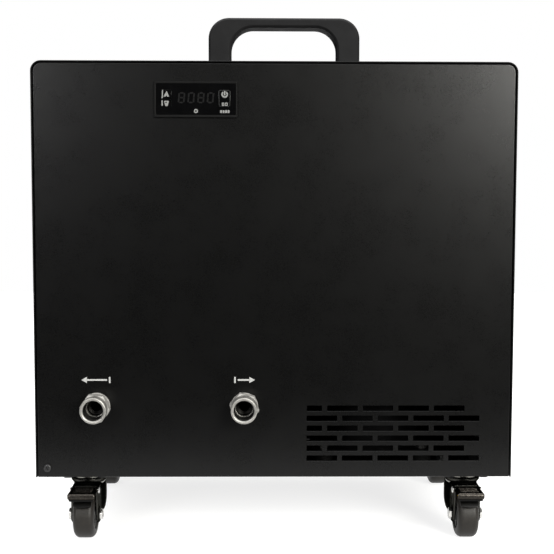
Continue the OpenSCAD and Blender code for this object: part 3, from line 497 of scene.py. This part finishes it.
def thermostat():
    x, z = CTL
    m = Mesh()
    m.plate(rsq(x - 39.25, z - 16.8, x + 39.25, z + 16.8, 1.3, 6), [rsq(x - 37.3, z - 14.35, x + 37.8, z + 14.9, 0.9, 5)], front(PF - 2.6), 2.6, 0.5, 0.55, 4)
    m.plate(rsq(x - 37.4, z - 14.45, x + 37.9, z + 15.0, 1.0, 5), [rsq(x - 34, z - 13, x + 34, z + 13, 0.5, 2)], front(PF - 0.98), 0.98, 0.0, 0.0, 1)
    m.make("thermostat_frame", "cabinet", ["controller_bezel"], "bezel_plastic", [FRAME_P])
    m = Mesh()
    m.plate(rsq(x - 37.15, z - 14.2, x + 37.65, z + 14.75, 0.8, 5), [key_loop(k, 0.22, 1.2) for k in (UP, DOWN, POW)], front(PF - 2.42), 1.42, 0.05, 0.0, 1)
    m.make("thermostat_lens", "cabinet", ["controller_window"], "window_gloss", [LENS])
    for name, k in (("key_up", UP), ("key_down", DOWN), ("key_power", POW)):
        m = Mesh()
        m.plate(key_loop(k, 0.04), [], front(PF - 2.44), 1.7, 0.06, 0.05, 2)
        m.plate(key_loop(k, -0.45, 0.6), [], front(PF - 0.76), 1.0, 0.0, 0.1, 1)
        m.turned([(0, 0), (1.6, 0.0), (1.6, 3.1), (1.35, 3.4), (0, 3.4)], 20, 0, T(x + k[0], PF + 0.2, z + k[1]) @ TO_REAR)
        m.make("cap_" + name, name, [name], "window_gloss", [LENS])


def mark(m, loop, y, holes=(), t=0.05, mat=0):
    """A printed shape: a film of ink a twentieth of a millimetre thick."""
    m.plate([(CTL[0] + a, CTL[1] + b) for a, b in loop], [[(CTL[0] + a, CTL[1] + b) for a, b in h] for h in holes], front(y - t), t + 0.02, 0.0, 0.0, 1, mat)


def bar(x0, z0, x1, z1, r=None):
    r = min(x1 - x0, z1 - z0) * 0.3 if r is None else r
    return rsq(x0, z0, x1, z1, r, 2)


def thermostat_marks():
    y = PF - 2.44
    m = Mesh()
    # the bar along the up key's left edge is a painted highlight on the key's lit edge, in the key ink
    mark(m, [(-32.0, 1.1), (-30.9, 1.1), (-30.5, 8.7), (-31.6, 8.7)], y)
    mark(m, [(-30.2, 2.5), (-28.3, 2.5), (-27.5, 3.7), (-26.7, 2.5), (-24.8, 2.5), (-27.0, 7.6), (-27.6, 7.6)], y)
    m.make("print_up_and_painted_edge_highlight", "key_up", [], None, [KEY_INK])
    m = Mesh()
    # the bar along the down key's left edge is a painted highlight on the key's lit edge, in the key ink
    mark(m, bar(-32.1, -6.0, -30.9, -0.8), y)
    mark(m, [(-28.5, -6.3), (-26.4, -6.3), (-25.2, -1.9), (-25.7, -1.3), (-29.2, -1.3), (-29.6, -2.2)], y, [circle(-27.8, -2.9, 0.75, 12)])
    m.make("print_down_and_painted_edge_highlight", "key_down", [], None, [KEY_INK])
    m = Mesh()
    # ring and stroke of the power symbol
    cx, cz = 27.4, 4.8
    mark(m, arc(cx, cz, 3.15, 124, 416, 26) + arc(cx, cz, 1.75, 416, 124, 26), y)
    mark(m, bar(cx - 0.75, cz - 0.9, cx + 0.75, cz + 3.3), y)
    for i in range(2):
        mark(m, bar(24.7 + i * 3.1, -5.9, 27.1 + i * 3.1, -2.9, 0.5), y, [bar(25.4 + i * 3.1, -5.1, 26.4 + i * 3.1, -3.7, 0.2)])
    # the faint grey ring just inside the power key's edge (material 1) is a painted highlight along the edge
    mark(m, rsq(22.0, -6.5, 32.4, 8.7, 1.6, 4), y, [rsq(22.3, -6.2, 32.1, 8.4, 1.35, 4)], mat=1)
    m.make("print_power_and_painted_edge_highlight", "key_power", [], None, [KEY_INK, KEY_EDGE_PAINTED_HIGHLIGHT])
    y = PF - 2.42
    m = Mesh()
    mark(m, circle(0.3, -10.8, 1.95, 24), y, [circle(0.3, -10.8, 0.8, 24)])
    for i in range(4):
        mark(m, bar(23.1 + i * 2.35, -12.6, 24.9 + i * 2.35, -9.9, 0.4), y)
    m.make("print_lens", "cabinet", [], None, [KEY_INK])
    m = Mesh()
    w, h, t = 6.5, 10.4, 1.5
    for digit, x0 in enumerate((-17.0, -7.9, 1.3, 10.3)):
        z0 = -3.6
        g = 0.12
        k0 = len(m.v)
        for i, a in enumerate(((x0 + t, z0, x0 + w - t, z0 + t), (x0 + t, z0 + h - t, x0 + w - t, z0 + h), (x0 + t, z0 + (h - t) / 2, x0 + w - t, z0 + (h + t) / 2))):
            if i < 2 or digit in (0, 2):
                mark(m, bar(a[0] + g, a[1], a[2] - g, a[3], 0.5), y, t=0.02)
        for xx in (x0, x0 + w - t):
            for zz in (z0 + t * 0.5, z0 + (h + t) / 2 - t * 0.5):
                mark(m, bar(xx, zz + g, xx + t, zz + h / 2 - t * 0.5 - g, 0.5), y, t=0.02)
        # the digits lean a little
        m.v[k0:] = [(px + 0.09 * (pz - CTL[1] - z0), py, pz) for px, py, pz in m.v[k0:]]
    m.make("display_segments", "cabinet", [], "window_gloss", [GHOST])


def port_marks():
    """A plain arrow above each water port: away from the cabinet over the outlet, into it over the inlet."""
    m = Mesh()

    def ink(loop):
        m.plate(loop, [], front(PF - 0.06), 0.08, 0.0, 0.0, 1)

    z = GZ + 94.2
    for cx, w, way in ((-171.7, 28.0, -1), (-28.7, 20.0, 1)):
        x0, x1 = cx - w / 2, cx + w / 2
        head = x1 if way > 0 else x0
        k = 5.4 * way
        tri = [(head - k, z - 3.0), (head, z), (head - k, z + 3.0)]
        ink(tri if way > 0 else tri[::-1])
        a, b = sorted((head - k + 0.2 * way, (x0 if way > 0 else x1) + 3.4 * way))
        ink(rsq(a, z - 0.8, b, z + 0.8, 0.2, 2))
        e = x0 if way > 0 else x1
        a, b = sorted((e, e + 1.5 * way))
        ink(rsq(a, z - 3.0, b, z + 3.0, 0.2, 2))
    m.make("port_arrows", "cabinet", [], None, [INK])


# ---------------------------------------------------------------- water ports


def port(name, node, cx, turn, back):
    """A round socket with a hexagon behind it; back is the gap between the hexagon and the panel."""
    n = 96
    af, out = 25.5, 24.6
    y0 = PF - out

    def hexr(k):
        a = (360.0 * k / n - turn + 30.0) % 60.0 - 30.0
        return 0.5 * af / math.cos(math.radians(30.0 - abs(a)))

    def ring(fn, d):
        return [(cx + fn(k) * math.cos(2 * math.pi * k / n), y0 + d, PORT_Z + fn(k) * math.sin(2 * math.pi * k / n)) for k in range(n)]

    rings = []
    # the face: a bevel into the bore, a flat, a bevel outwards
    for r, d in ((9.75, 1.0), (9.95, 0.62), (10.75, 0.12), (10.95, 0.03), (11.2, 0.0), (11.6, 0.0), (11.75, 0.04), (12.3, 0.42), (12.52, 0.62), (12.6, 0.9)):
        rings.append(ring(lambda k, r=r: r, d))
    h0, h1 = out - back - 8.0, out - back
    rings.append(ring(lambda k: 12.6, h0 - 1.3))
    for q in (0.0, 0.3, 0.6, 0.9, 1.2, 1.5, 1.8, 2.1):
        rings.append(ring(lambda k, q=q: min(12.62 + q, hexr(k) - 0.06), h0 - 1.0 + q))
    for q in (1.25, 1.0, 0.8, 0.6, 0.45, 0.3, 0.15, 0.0):
        rings.append(ring(lambda k, q=q: min(12.76 + 1.75 * q, hexr(k) - 0.1 * max(0.0, 1.0 - q)), h1 - q))
    if back > 2.0:
        for r, d in ((12.62, h1 + 0.05), (12.6, h1 + 0.25), (12.6, out - 1.7), (12.75, out - 1.5), (13.05, out - 1.45), (13.2, out - 1.25)):
            rings.append(ring(lambda k, r=r: r, d))
    else:
        rings.append(ring(lambda k: 13.2, h1 + 0.05))
    rings.append(ring(lambda k: 13.2, out - 0.02))
    body = len(rings) - 1
    for r, d in ((10.5, out - 0.01), (10.5, out + 22.0), (6.5, out + 22.2), (6.5, out + 28.0)):
        rings.append(ring(lambda k, r=r: r, d))
    for i in range(3):
        for r, d in ((6.8, out + 28.2 + 6 * i), (6.4, out + 31.0 + 6 * i), (6.5, out + 33.9 + 6 * i)):
            rings.append(ring(lambda k, r=r: r, d))
    bore = len(rings)
    for r, d in ((6.0, out + 46.0), (4.8, out + 46.0), (4.8, 23.0), (7.4, 21.6), (7.4, 18.0), (7.6, 17.5), (8.15, 17.45)):
        rings.append(ring(lambda k, r=r: r, d))
    step = len(rings) - 1
    for r, d in ((8.9, 17.4), (9.6, 17.0)):
        rings.append(ring(lambda k, r=r: r, d))
    # the thread, a helical groove of 1.81 mm pitch
    pitch, steps = 1.814, 108
    for i in range(steps + 1):
        d = 16.6 - (16.6 - 1.3) * i / steps

        def groove(k, d=d):
            q = ((d / pitch) - k / n) % 1.0
            tooth = 1.0 - abs(2 * q - 1.0)
            fade = min(1.0, max(0.0, (d - 1.4) / 1.2)) * min(1.0, max(0.0, (17.0 - d) / 1.2))
            return 9.3 + 0.85 * tooth * fade + 0.35 * (1 - min(1.0, (d - 1.3) / 0.6)) * (d < 1.9)

        rings.append(ring(groove, d))
    m = Mesh()
    m.rings(rings, loop=True)
    # the bore's rings take the darkened copies: painted shade inside the bore
    for i in range(bore, len(rings) - 1):
        m.m[i * n:(i + 1) * n] = [2 if i == step else 1] * n
    # the barrel and hexagon take the lighter copy (material 3): painted light on them
    for i in range(10, body):
        m.m[i * n:(i + 1) * n] = [3] * n
    m.make(name, "cabinet", [node], "port_metal", [NICKEL, THREAD_PAINTED_SHADE, BORE_STEP_PAINTED_SHADE, NICKEL_PAINTED_LIGHT], angle=38)


# ---------------------------------------------------------------- mains inlet marks


def rocker_marks():
    m = Mesh()
    at = T(-150, PB - 1, 130) @ R(-7, "X")
    # a stroke and a ring, one on each half of the rocker
    face = lambda z: 3.0 + 1.2 * abs(z) / 9.2
    for loop, holes, zc in (([(-0.5, 3.4), (0.5, 3.4), (0.5, 7.0), (-0.5, 7.0)], [], 5.2), (circle(0.0, -5.2, 1.8, 20), [circle(0.0, -5.2, 1.1, 20)], -5.2)):
        m.plate(loop, holes, lambda u, v, d: (u, face(v) + 0.05 - d, v), 0.12, 0.0, 0.0, 1, 0, at)
    m.make("rocker_marks", "power_rocker", [], None, [INK])

# ---------------------------------------------------------------- casters


def soften(loop, r, n=4):
    """Rounds a loop's corners; r is one length or one per corner."""
    out = []
    for i, (bx, by) in enumerate(loop):
        rr = r[i] if isinstance(r, (list, tuple)) else r
        (ax, ay), (cx, cy) = loop[i - 1], loop[(i + 1) % len(loop)]
        la, lc = math.hypot(ax - bx, ay - by), math.hypot(cx - bx, cy - by)
        if rr <= 0:
            out.append((bx, by))
            continue
        ra, rc = min(rr, la * 0.48), min(rr, lc * 0.48)
        p0 = (bx + (ax - bx) / la * ra, by + (ay - by) / la * ra)
        p2 = (bx + (cx - bx) / lc * rc, by + (cy - by) / lc * rc)
        for k in range(n + 1):
            t = k / n
            out.append(((1 - t) ** 2 * p0[0] + 2 * t * (1 - t) * bx + t * t * p2[0], (1 - t) ** 2 * p0[1] + 2 * t * (1 - t) * by + t * t * p2[1]))
    return out


def ccw(loop):
    a = sum(loop[i - 1][0] * p[1] - p[0] * loop[i - 1][1] for i, p in enumerate(loop))
    return loop if a > 0 else loop[::-1]


def hexnut(m, at, af, h, hole=0.0, mat=0, up=True):
    """A hexagon with chamfered corners standing up from the origin, closed, with a dished face or a hole."""
    n = 72

    def hx(k):
        a = (360.0 * k / n) % 60.0 - 30.0
        return 0.5 * af / math.cos(math.radians(a))

    def ring(fn, z):
        return [(fn(k) * math.cos(2 * math.pi * k / n), fn(k) * math.sin(2 * math.pi * k / n), z) for k in range(n)]

    r0 = 0.475 * af
    rings = [ring(hx, 0.0)] + [ring(lambda k, z=z: min(hx(k), r0 + 1.7 * (h - z)), z) for z in (h - 1.0, h - 0.7, h - 0.45, h - 0.2, h - 0.05)]
    rings += [ring(lambda k: r0 - 0.15, h)]
    if hole:
        rings += [ring(lambda k: hole + 0.3, h), ring(lambda k: hole, h - 0.3), ring(lambda k: hole, h - 1.4)]
    else:
        rings += [ring(lambda k: r0 * 0.72, h), ring(lambda k: r0 * 0.66, h - 0.15)]
    m.rings(rings, mat, at)


def top_plates():
    m = Mesh()
    for cx, cy in SWIVEL.values():
        o = T(cx, cy, 0)
        holes = [circle(i * 17, j * 20, 3.1, 20) for i in (-1, 1) for j in (-1, 1)]
        m.plate(rsq(-23, -27, 23, 27, 4.0, 5), holes, lambda u, v, d: (u, v, GZ - d), 2.5, 0.0, 0.6, 3, 0, o)
        f0 = len(m.m)
        m.lathe([(5.2, 64.0), (5.2, 57.1), (8.6, 57.1), (9.3, 58.2), (11.0, 59.0), (12.7, 58.2), (13.4, 57.1), (15.7, 57.1), (16.3, 57.3), (16.5, 57.8), (16.5, 59.4), (16.35, 60.0), (15.9, 60.6), (15.0, 61.1), (13.4, 61.6), (12.2, 62.5), (11.6, 64.0)], 64, 0, o)
        # the race's outer rim band is in the lighter copy: a painted highlight arc
        m.m[f0 + 9 * 64:f0 + 10 * 64] = [1] * 64
        m.turned([(0, 47.4), (6.4, 47.4), (7.5, 47.8), (8.0, 48.5), (8.0, 49.35), (5.0, 49.4), (5.0, 62.2), (0, 62.2)], 32, 0, o)
    m.make("swivel_plates", "cabinet", ["caster_plates"], "black_zinc", [CASTER, RACE_PAINTED_HIGHLIGHT])


LEG = ccw(soften([(-30.9, 51.0), (-29.2, 24), (-27.4, 17.6), (-22.5, 14.2), (-17.0, 14.7), (-12.2, 17.0), (-5, 19.7), (9.6, 23.8), (16.8, 29.2), (16.9, 45.4), (15.6, 49.4), (12, 52.0), (-12, 52.0)], [2.2, 3.0, 3.0, 3.0, 3.0, 3.0, 5.0, 5.0, 4.0, 4.0, 3.0, 3.0, 3.0], 5))
EMBOSS = ccw(soften([(-27.4, 47.4), (-26.4, 33), (-20.5, 29.8), (-12.5, 24.4), (6.0, 26.4), (12.9, 32.4), (12.8, 44.0), (8.6, 48.0)], [2.0, 4.0, 5.0, 4.0, 6.0, 3.5, 3.5, 2.5], 5))


def flare(y):
    """How far the fork's sides have spread, at a distance along the caster."""
    t = min(1.0, max(0.0, (y + 13.5) / 20.0))
    return 2.0 * t * t * (3 - 2 * t) * 0.4 + 2.0 * t * 0.6


def fork_shell(pos, cx, cy, braked):
    m = Mesh()
    o = T(cx, cy, 0)
    f0 = len(m.m)
    m.lathe([(5.1, 56.5), (5.1, 49.7), (13.4, 49.7), (14.6, 49.9), (15.4, 50.4), (15.9, 51.2), (16.15, 52.2), (16.6, 53.0), (17.3, 53.5), (17.6, 54.2), (17.6, 55.6), (17.45, 56.2), (16.9, 56.5), (13.4, 56.5), (12.7, 55.4), (11.0, 54.6), (9.3, 55.4), (8.6, 56.5)], 64, 0, o)
    # the crown's lower rounded edge is in the lighter copy: a painted highlight arc
    m.m[f0 + 3 * 64:f0 + 6 * 64] = [2] * 192
    # the yoke's web, its front edge bent down
    m.plate(ccw([(-12.3, -22.4), (12.3, -22.4), (12.3, -12.0), (14.3, 7.0), (14.3, 11.6), (-14.3, 11.6), (-14.3, 7.0), (-12.3, -12.0)]), [circle(0, 0, 5.1, 32)], lambda u, v, d: (u, v, 51.4 - d), 1.6, 0.3, 0.3, 2, 0, o)
    # the web's bent-down front edge is in the lighter copy (material 2): a painted highlight along it
    m.plate(ccw([(-22.5, 47.6), (-21.4, 47.6), (-21.4, 51.2), (-22.0, 51.35), (-22.5, 50.9)]), [], lambda u, v, d: (12.1 - d, u, v), 24.2, 0.2, 0.2, 2, 2, o)
    for s in (-1, 1):
        v0, f0 = len(m.v), len(m.f)
        m.plate(LEG, [circle(-20, 23, 3.05, 24)], lambda u, v, d, s=s: (s * (11.2 + d), u, v), 2.0, 0.3, 0.85, 4, 0, o)
        m.plate(EMBOSS, [], lambda u, v, d, s=s: (s * (13.0 + d), u, v), 0.8, 0.0, 0.75, 3, 0, o)
        m.flex(v0, f0, [cy - 13.5 + 2.0 * k for k in range(11)], lambda x, y, z, s=s: (x + s * flare(y - cy), y, z), axis=1)
        m.lathe([(3.05, 0.0), (7.4, 0.0), (7.6, 0.3), (7.2, 0.75), (3.05, 0.75)], 40, 0, o @ T(s * 13.1, -20, 23) @ R(90 * s, "Y"))
        if braked:
            m.turned([(0, -1.6), (3.1, -1.6), (3.1, 0.1), (2.6, 0.6), (1.5, 0.78), (0, 0.8)], 28, 1, o @ T(s * 13.7, -26, 48.2) @ R(90 * s, "Y"))
    if braked:
        m.turned([(0, -13.0), (1.8, -13.0), (1.8, 13.0), (0, 13.0)], 24, 1, o @ T(0, -26, 48.2) @ R(90, "Y"))
    m.make("fork_shell_" + pos, "caster_" + pos, ["fork_" + pos], "black_zinc", [CASTER, ZINC, RACE_PAINTED_HIGHLIGHT])


def axle_bolt(pos, cx, cy):
    m = Mesh()
    o = T(cx, cy - 20, 23)
    m.turned([(0, -14.2), (3.0, -14.2), (3.0, 14.6), (2.6, 15.0), (0, 15.0)], 28, 0, o @ R(90, "Y"))
    hexnut(m, o @ T(13.85, 0, 0) @ R(90, "Y") @ R(11, "Z"), 10.0, 2.75, 3.1)
    hexnut(m, o @ T(-13.85, 0, 0) @ R(-90, "Y") @ R(4, "Z"), 10.0, 2.75, 0.0)
    m.make("axle_bolt_" + pos, "caster_" + pos, ["axle_" + pos], "zinc", [ZINC])


def wheel(pos, cx, cy):
    m = Mesh()
    o = T(cx, cy - 20, 23) @ R(90, "Y")
    half = [(14.75, 9.6), (14.95, 10.0), (15.4, 10.2), (16.2, 10.25), (17.5, 10.25)]
    half += [(17.5 + 5.5 * math.sin(math.radians(a)), 4.75 + 5.5 * math.cos(math.radians(a))) for a in range(9, 82, 9)]
    half += [(22.95, 4.3), (22.99, 2.4)]
    tyre = half + [(23.0, 0.0)] + [(r, -x) for r, x in half[::-1]] + [(14.3, -8.6), (14.3, 8.6)]
    m.lathe(tyre, 96, 0, o)
    rim = [(3.05, 10.2), (7.4, 10.2), (8.0, 9.8), (8.2, 7.4), (14.0, 7.3), (14.25, 8.6), (14.6, 9.5), (14.8, 9.62)]
    m.lathe(rim + [(r, -x) for r, x in rim[::-1]], 80, 1, o)
    for s in (-1, 1):
        for k in range(6):
            m.plate(rsq(7.9, -0.8, 14.2, 0.8, 0.3, 2), [], lambda u, v, d, s=s: (u, v, s * (8.9 - d)), 1.8, 0.3, 0.0, 2, 1, o @ R(60 * k + 9, "Z"))
    m.make("wheel_tyre_" + pos, "wheel_" + pos, ["wheel_" + pos], "wheel_rubber", [TREAD, HUB], angle=30)


def pedal(side, cx, cy):
    m = Mesh()
    o = T(cx, cy, 0)
    side_x = lambda w: (lambda u, v, d: (w - d, u, v))
    # the tread of the pedal, its sides rolled down
    top = ccw([(-13.2, 48.9), (13.2, 48.9)] + arc(11.5, 49.3, 1.7, 0, 90, 6) + arc(-11.5, 49.3, 1.7, 90, 180, 6))
    m.plate(top, [], lambda u, v, d: (u, -49.6 + d, v), 17.4, 0.4, 0.5, 2, 0, o)
    m.plate(rsq(-10.6, -34.0, 10.6, -25.8, 0.8, 3), [], lambda u, v, d: (u, v, 50.98 - d), 2.0, 0.35, 0.2, 2, 0, o)
    # the rolled front lip
    v0 = len(m.v)
    m.turned([(r, x) for r, x in ((0.0, -13.2), (1.6, -13.15), (2.5, -12.9), (3.0, -12.3), (3.2, -11.4), (3.22, -9.6), (3.22, 9.6), (3.2, 11.4), (3.0, 12.3), (2.5, 12.9), (1.6, 13.15), (0.0, 13.2))], 40, 0, o @ T(0, -48.0, 47.9) @ R(90, "Y"))
    m.v[v0:] = [(px, cy - 48.0 + (py - cy + 48.0) * 0.86, pz) for px, py, pz in m.v[v0:]]
    # the plate under the lip is in the near-black copy (material 1): painted shade under the lip
    m.plate(ccw(soften([(-11.8, 43.3), (11.8, 43.3), (11.8, 48.0), (-11.8, 48.0)], [1.2, 1.2, 0, 0], 4)), [], lambda u, v, d: (u, -49.6 + d, v), 1.6, 0.5, 0.4, 3, 1, o)
    # grip ribs
    for y in (-43.2, -39.4, -35.6, -31.8):
        m.plate(rsq(-9.0, y - 0.7, 9.0, y + 0.7, 0.65, 3), [], lambda u, v, d: (u, v, 51.4 - d), 0.8, 0.35, 0.0, 2, 0, o)
    m.lathe([(1.85, -10.0), (2.35, -10.0), (2.6, -9.75), (2.6, 9.75), (2.35, 10.0), (1.85, 10.0)], 32, 0, o @ T(0, -26, 48.2) @ R(90, "Y"))
    # the shoe, a plate with rounded lower corners wrapped round the wheel
    v0, f0 = len(m.v), len(m.f)
    m.plate(ccw(soften([(-9.0, 0.4), (0.0, -0.9), (9.0, 0.4), (9.0, 16.2), (-9.0, 16.2)], [2.4, 8.0, 2.4, 0.5, 0.5], 6)), [], lambda u, v, d: (u, d, v), 1.5, 0.4, 0.4, 2, 1)

    def wrap(x, d, z):
        t = math.radians(28.0) + z / 28.1
        return (cx + x, cy - 20 - (28.1 - d) * math.cos(t), 23 + (28.1 - d) * math.sin(t))

    m.flex(v0, f0, [k for k in range(0, 17)], wrap)
    # the link is in the near-black copy too: painted shade behind the lip
    m.plate(ccw([(-35.4, 44.9), (-33.2, 44.9), (-33.2, 49.6), (-35.4, 49.6)]), [], side_x(8.6), 17.2, 0.2, 0.2, 1, 1, o)
    m.make("pedal_plate_" + side, "brake_pedal_" + side, ["brake_pedal_" + side], "black_zinc", [PEDAL, SHOE_BLACK_AND_PAINTED_SHADE])


def casters():
    top_plates()
    for pos, (cx, cy) in SWIVEL.items():
        fork_shell(pos, cx, cy, pos.startswith("front"))
        axle_bolt(pos, cx, cy)
        wheel(pos, cx, cy)
    pedal("left", *SWIVEL["front_left"])
    pedal("right", *SWIVEL["front_right"])


# ---------------------------------------------------------------- build
cover_sheet()
front_sheet()
rear_sheet()
screws()
carry_handle()
thermostat()
thermostat_marks()
port_marks()
port("port_outlet", "outlet_fitting", -171.2, 55.0, 5.5)
port("port_inlet", "inlet_fitting", -28.8, 47.5, 1.0)
rocker_marks()
casters()

KEEP = {
    "base_pan": POWDER, "handle_screws": ZINC, "controller_case": BLACK_P, "controller_board": BOARD, "fitting_locknuts": NICKEL,
    "compressor": PAINT, "compressor_grommets": GROMMET, "terminal_cover": BLACK_P, "condenser_tubes": ALU, "condenser_fins": ALU,
    "discharge_line": COPPER_PAINTED_SHADE, "liquid_line": COPPER_PAINTED_SHADE, "suction_line": RUBBER, "filter_drier": COPPER_PAINTED_SHADE, "evaporator_barrel": BLACK_P,
    "evaporator_lid": BLACK_P, "evaporator_coil": TITAN, "fan_shroud": BLACK_P, "fan_motor": BLACK_P, "fan_blades": BLACK_P,
    "pump_volute": BLACK_P, "pump_motor": BLACK_P, "pump_impeller": WHITE_P, "inlet_hose": RUBBER, "transfer_hose": RUBBER,
    "outlet_hose": RUBBER, "hose_clamps": SCREW, "electrical_box": BLACK_P, "temperature_probe": RUBBER, "power_inlet": BLACK_P,
    "power_rocker": BLACK_P, "mounting_bolts": SCREW, "swivel_balls": ZINC,
}
for name, material in KEEP.items():
    node = NODES[name]
    if not node.material_slots:
        node.data.materials.append(material)
    for s in node.material_slots:
        s.material = material

# ---------------------------------------------------------------- floor, light, camera
floor_mat = shader("studio_floor", (0.34, 0.34, 0.34), (0.36, 0.36, 0.36), (0.7, 0.8), scale=3.0)
for nd in floor_mat.node_tree.nodes:
    if nd.type == "BSDF_PRINCIPLED":
        nd.inputs["Emission Color"].default_value = (1.0, 1.0, 1.0, 1.0)
        nd.inputs["Emission Strength"].default_value = 0.78
        nd.inputs["Specular IOR Level"].default_value = 0.1
fm = bpy.data.meshes.new("studio_floor")
fm.from_pydata([(-2.2, -0.44, 0.0), (2.2, -0.44, 0.0), (2.2, 2.6, 0.0), (-2.2, 2.6, 0.0)], [], [(0, 1, 2, 3)])
fm.materials.append(floor_mat)
floor = bpy.data.objects.new("studio_floor", fm)
floor.location = (0.0, 0.0, -0.0002)
scene.collection.objects.link(floor)


def area(name, loc, aim, w, h, power, colour=(1.0, 1.0, 1.0)):
    d = bpy.data.lights.new(name, "AREA")
    d.shape, d.size, d.size_y, d.energy, d.color = "RECTANGLE", w, h, power, colour
    o = bpy.data.objects.new(name, d)
    o.location = loc
    o.rotation_euler = (Vector(aim) - Vector(loc)).to_track_quat("-Z", "Y").to_euler()
    scene.collection.objects.link(o)
    return o


area("key_right", (1.35, -2.3, 1.15), (0.15, 0.0, 0.35), 1.1, 1.0, 132.0, (1.0, 0.99, 0.94))
area("fill_left", (-1.35, -2.3, 1.05), (-0.15, 0.0, 0.35), 0.9, 0.9, 38.0)

world = bpy.data.worlds.new("studio")
scene.world = world
world.use_nodes = True
wt = world.node_tree
wt.nodes.clear()
wo = wt.nodes.new("ShaderNodeOutputWorld")
mix = wt.nodes.new("ShaderNodeMixShader")
lp = wt.nodes.new("ShaderNodeLightPath")
seen = wt.nodes.new("ShaderNodeBackground")
seen.inputs["Color"].default_value = (1.0, 1.0, 1.0, 1.0)
seen.inputs["Strength"].default_value = 1.0
room = wt.nodes.new("ShaderNodeBackground")
room.inputs["Color"].default_value = (1.0, 1.0, 1.0, 1.0)
where = wt.nodes.new("ShaderNodeTexCoord")
axes = wt.nodes.new("ShaderNodeSeparateXYZ")
height = wt.nodes.new("ShaderNodeMapRange")
height.interpolation_type = "SMOOTHSTEP"
height.inputs["From Min"].default_value = 0.5
height.inputs["From Max"].default_value = 0.85
height.inputs["To Min"].default_value = 0.03
height.inputs["To Max"].default_value = 3.6
wt.links.new(where.outputs["Generated"], axes.inputs["Vector"])
wt.links.new(axes.outputs["Z"], height.inputs["Value"])
wt.links.new(height.outputs["Result"], room.inputs["Strength"])
wt.links.new(lp.outputs["Is Camera Ray"], mix.inputs["Fac"])
wt.links.new(room.outputs["Background"], mix.inputs[1])
wt.links.new(seen.outputs["Background"], mix.inputs[2])
wt.links.new(mix.outputs["Shader"], wo.inputs["Surface"])

pitch, yaw, roll = math.radians(4.271), math.radians(-0.782), math.radians(0.132)
right = Vector((math.cos(yaw), math.sin(yaw), 0.0))
fwd = Vector((-math.sin(yaw) * math.cos(pitch), math.cos(yaw) * math.cos(pitch), -math.sin(pitch)))
up = right.cross(fwd)
r2 = math.cos(roll) * right + math.sin(roll) * up
u2 = -math.sin(roll) * right + math.cos(roll) * up
cam_data = bpy.data.cameras.new("photo_camera")
cam_data.sensor_width = 36.0
cam_data.lens = 1058.8 / 554.0 * 36.0
cam_data.clip_start = 0.02
cam_data.clip_end = 60.0
cam = bpy.data.objects.new("photo_camera", cam_data)
cam.matrix_world = Matrix(((r2.x, u2.x, -fwd.x, -0.01145), (r2.y, u2.y, -fwd.y, -1.13992), (r2.z, u2.z, -fwd.z, 0.33524), (0, 0, 0, 1)))
scene.collection.objects.link(cam)
scene.camera = cam
scene.view_settings.view_transform = "Standard"
scene.view_settings.look = "None"

bpy.context.view_layer.update()
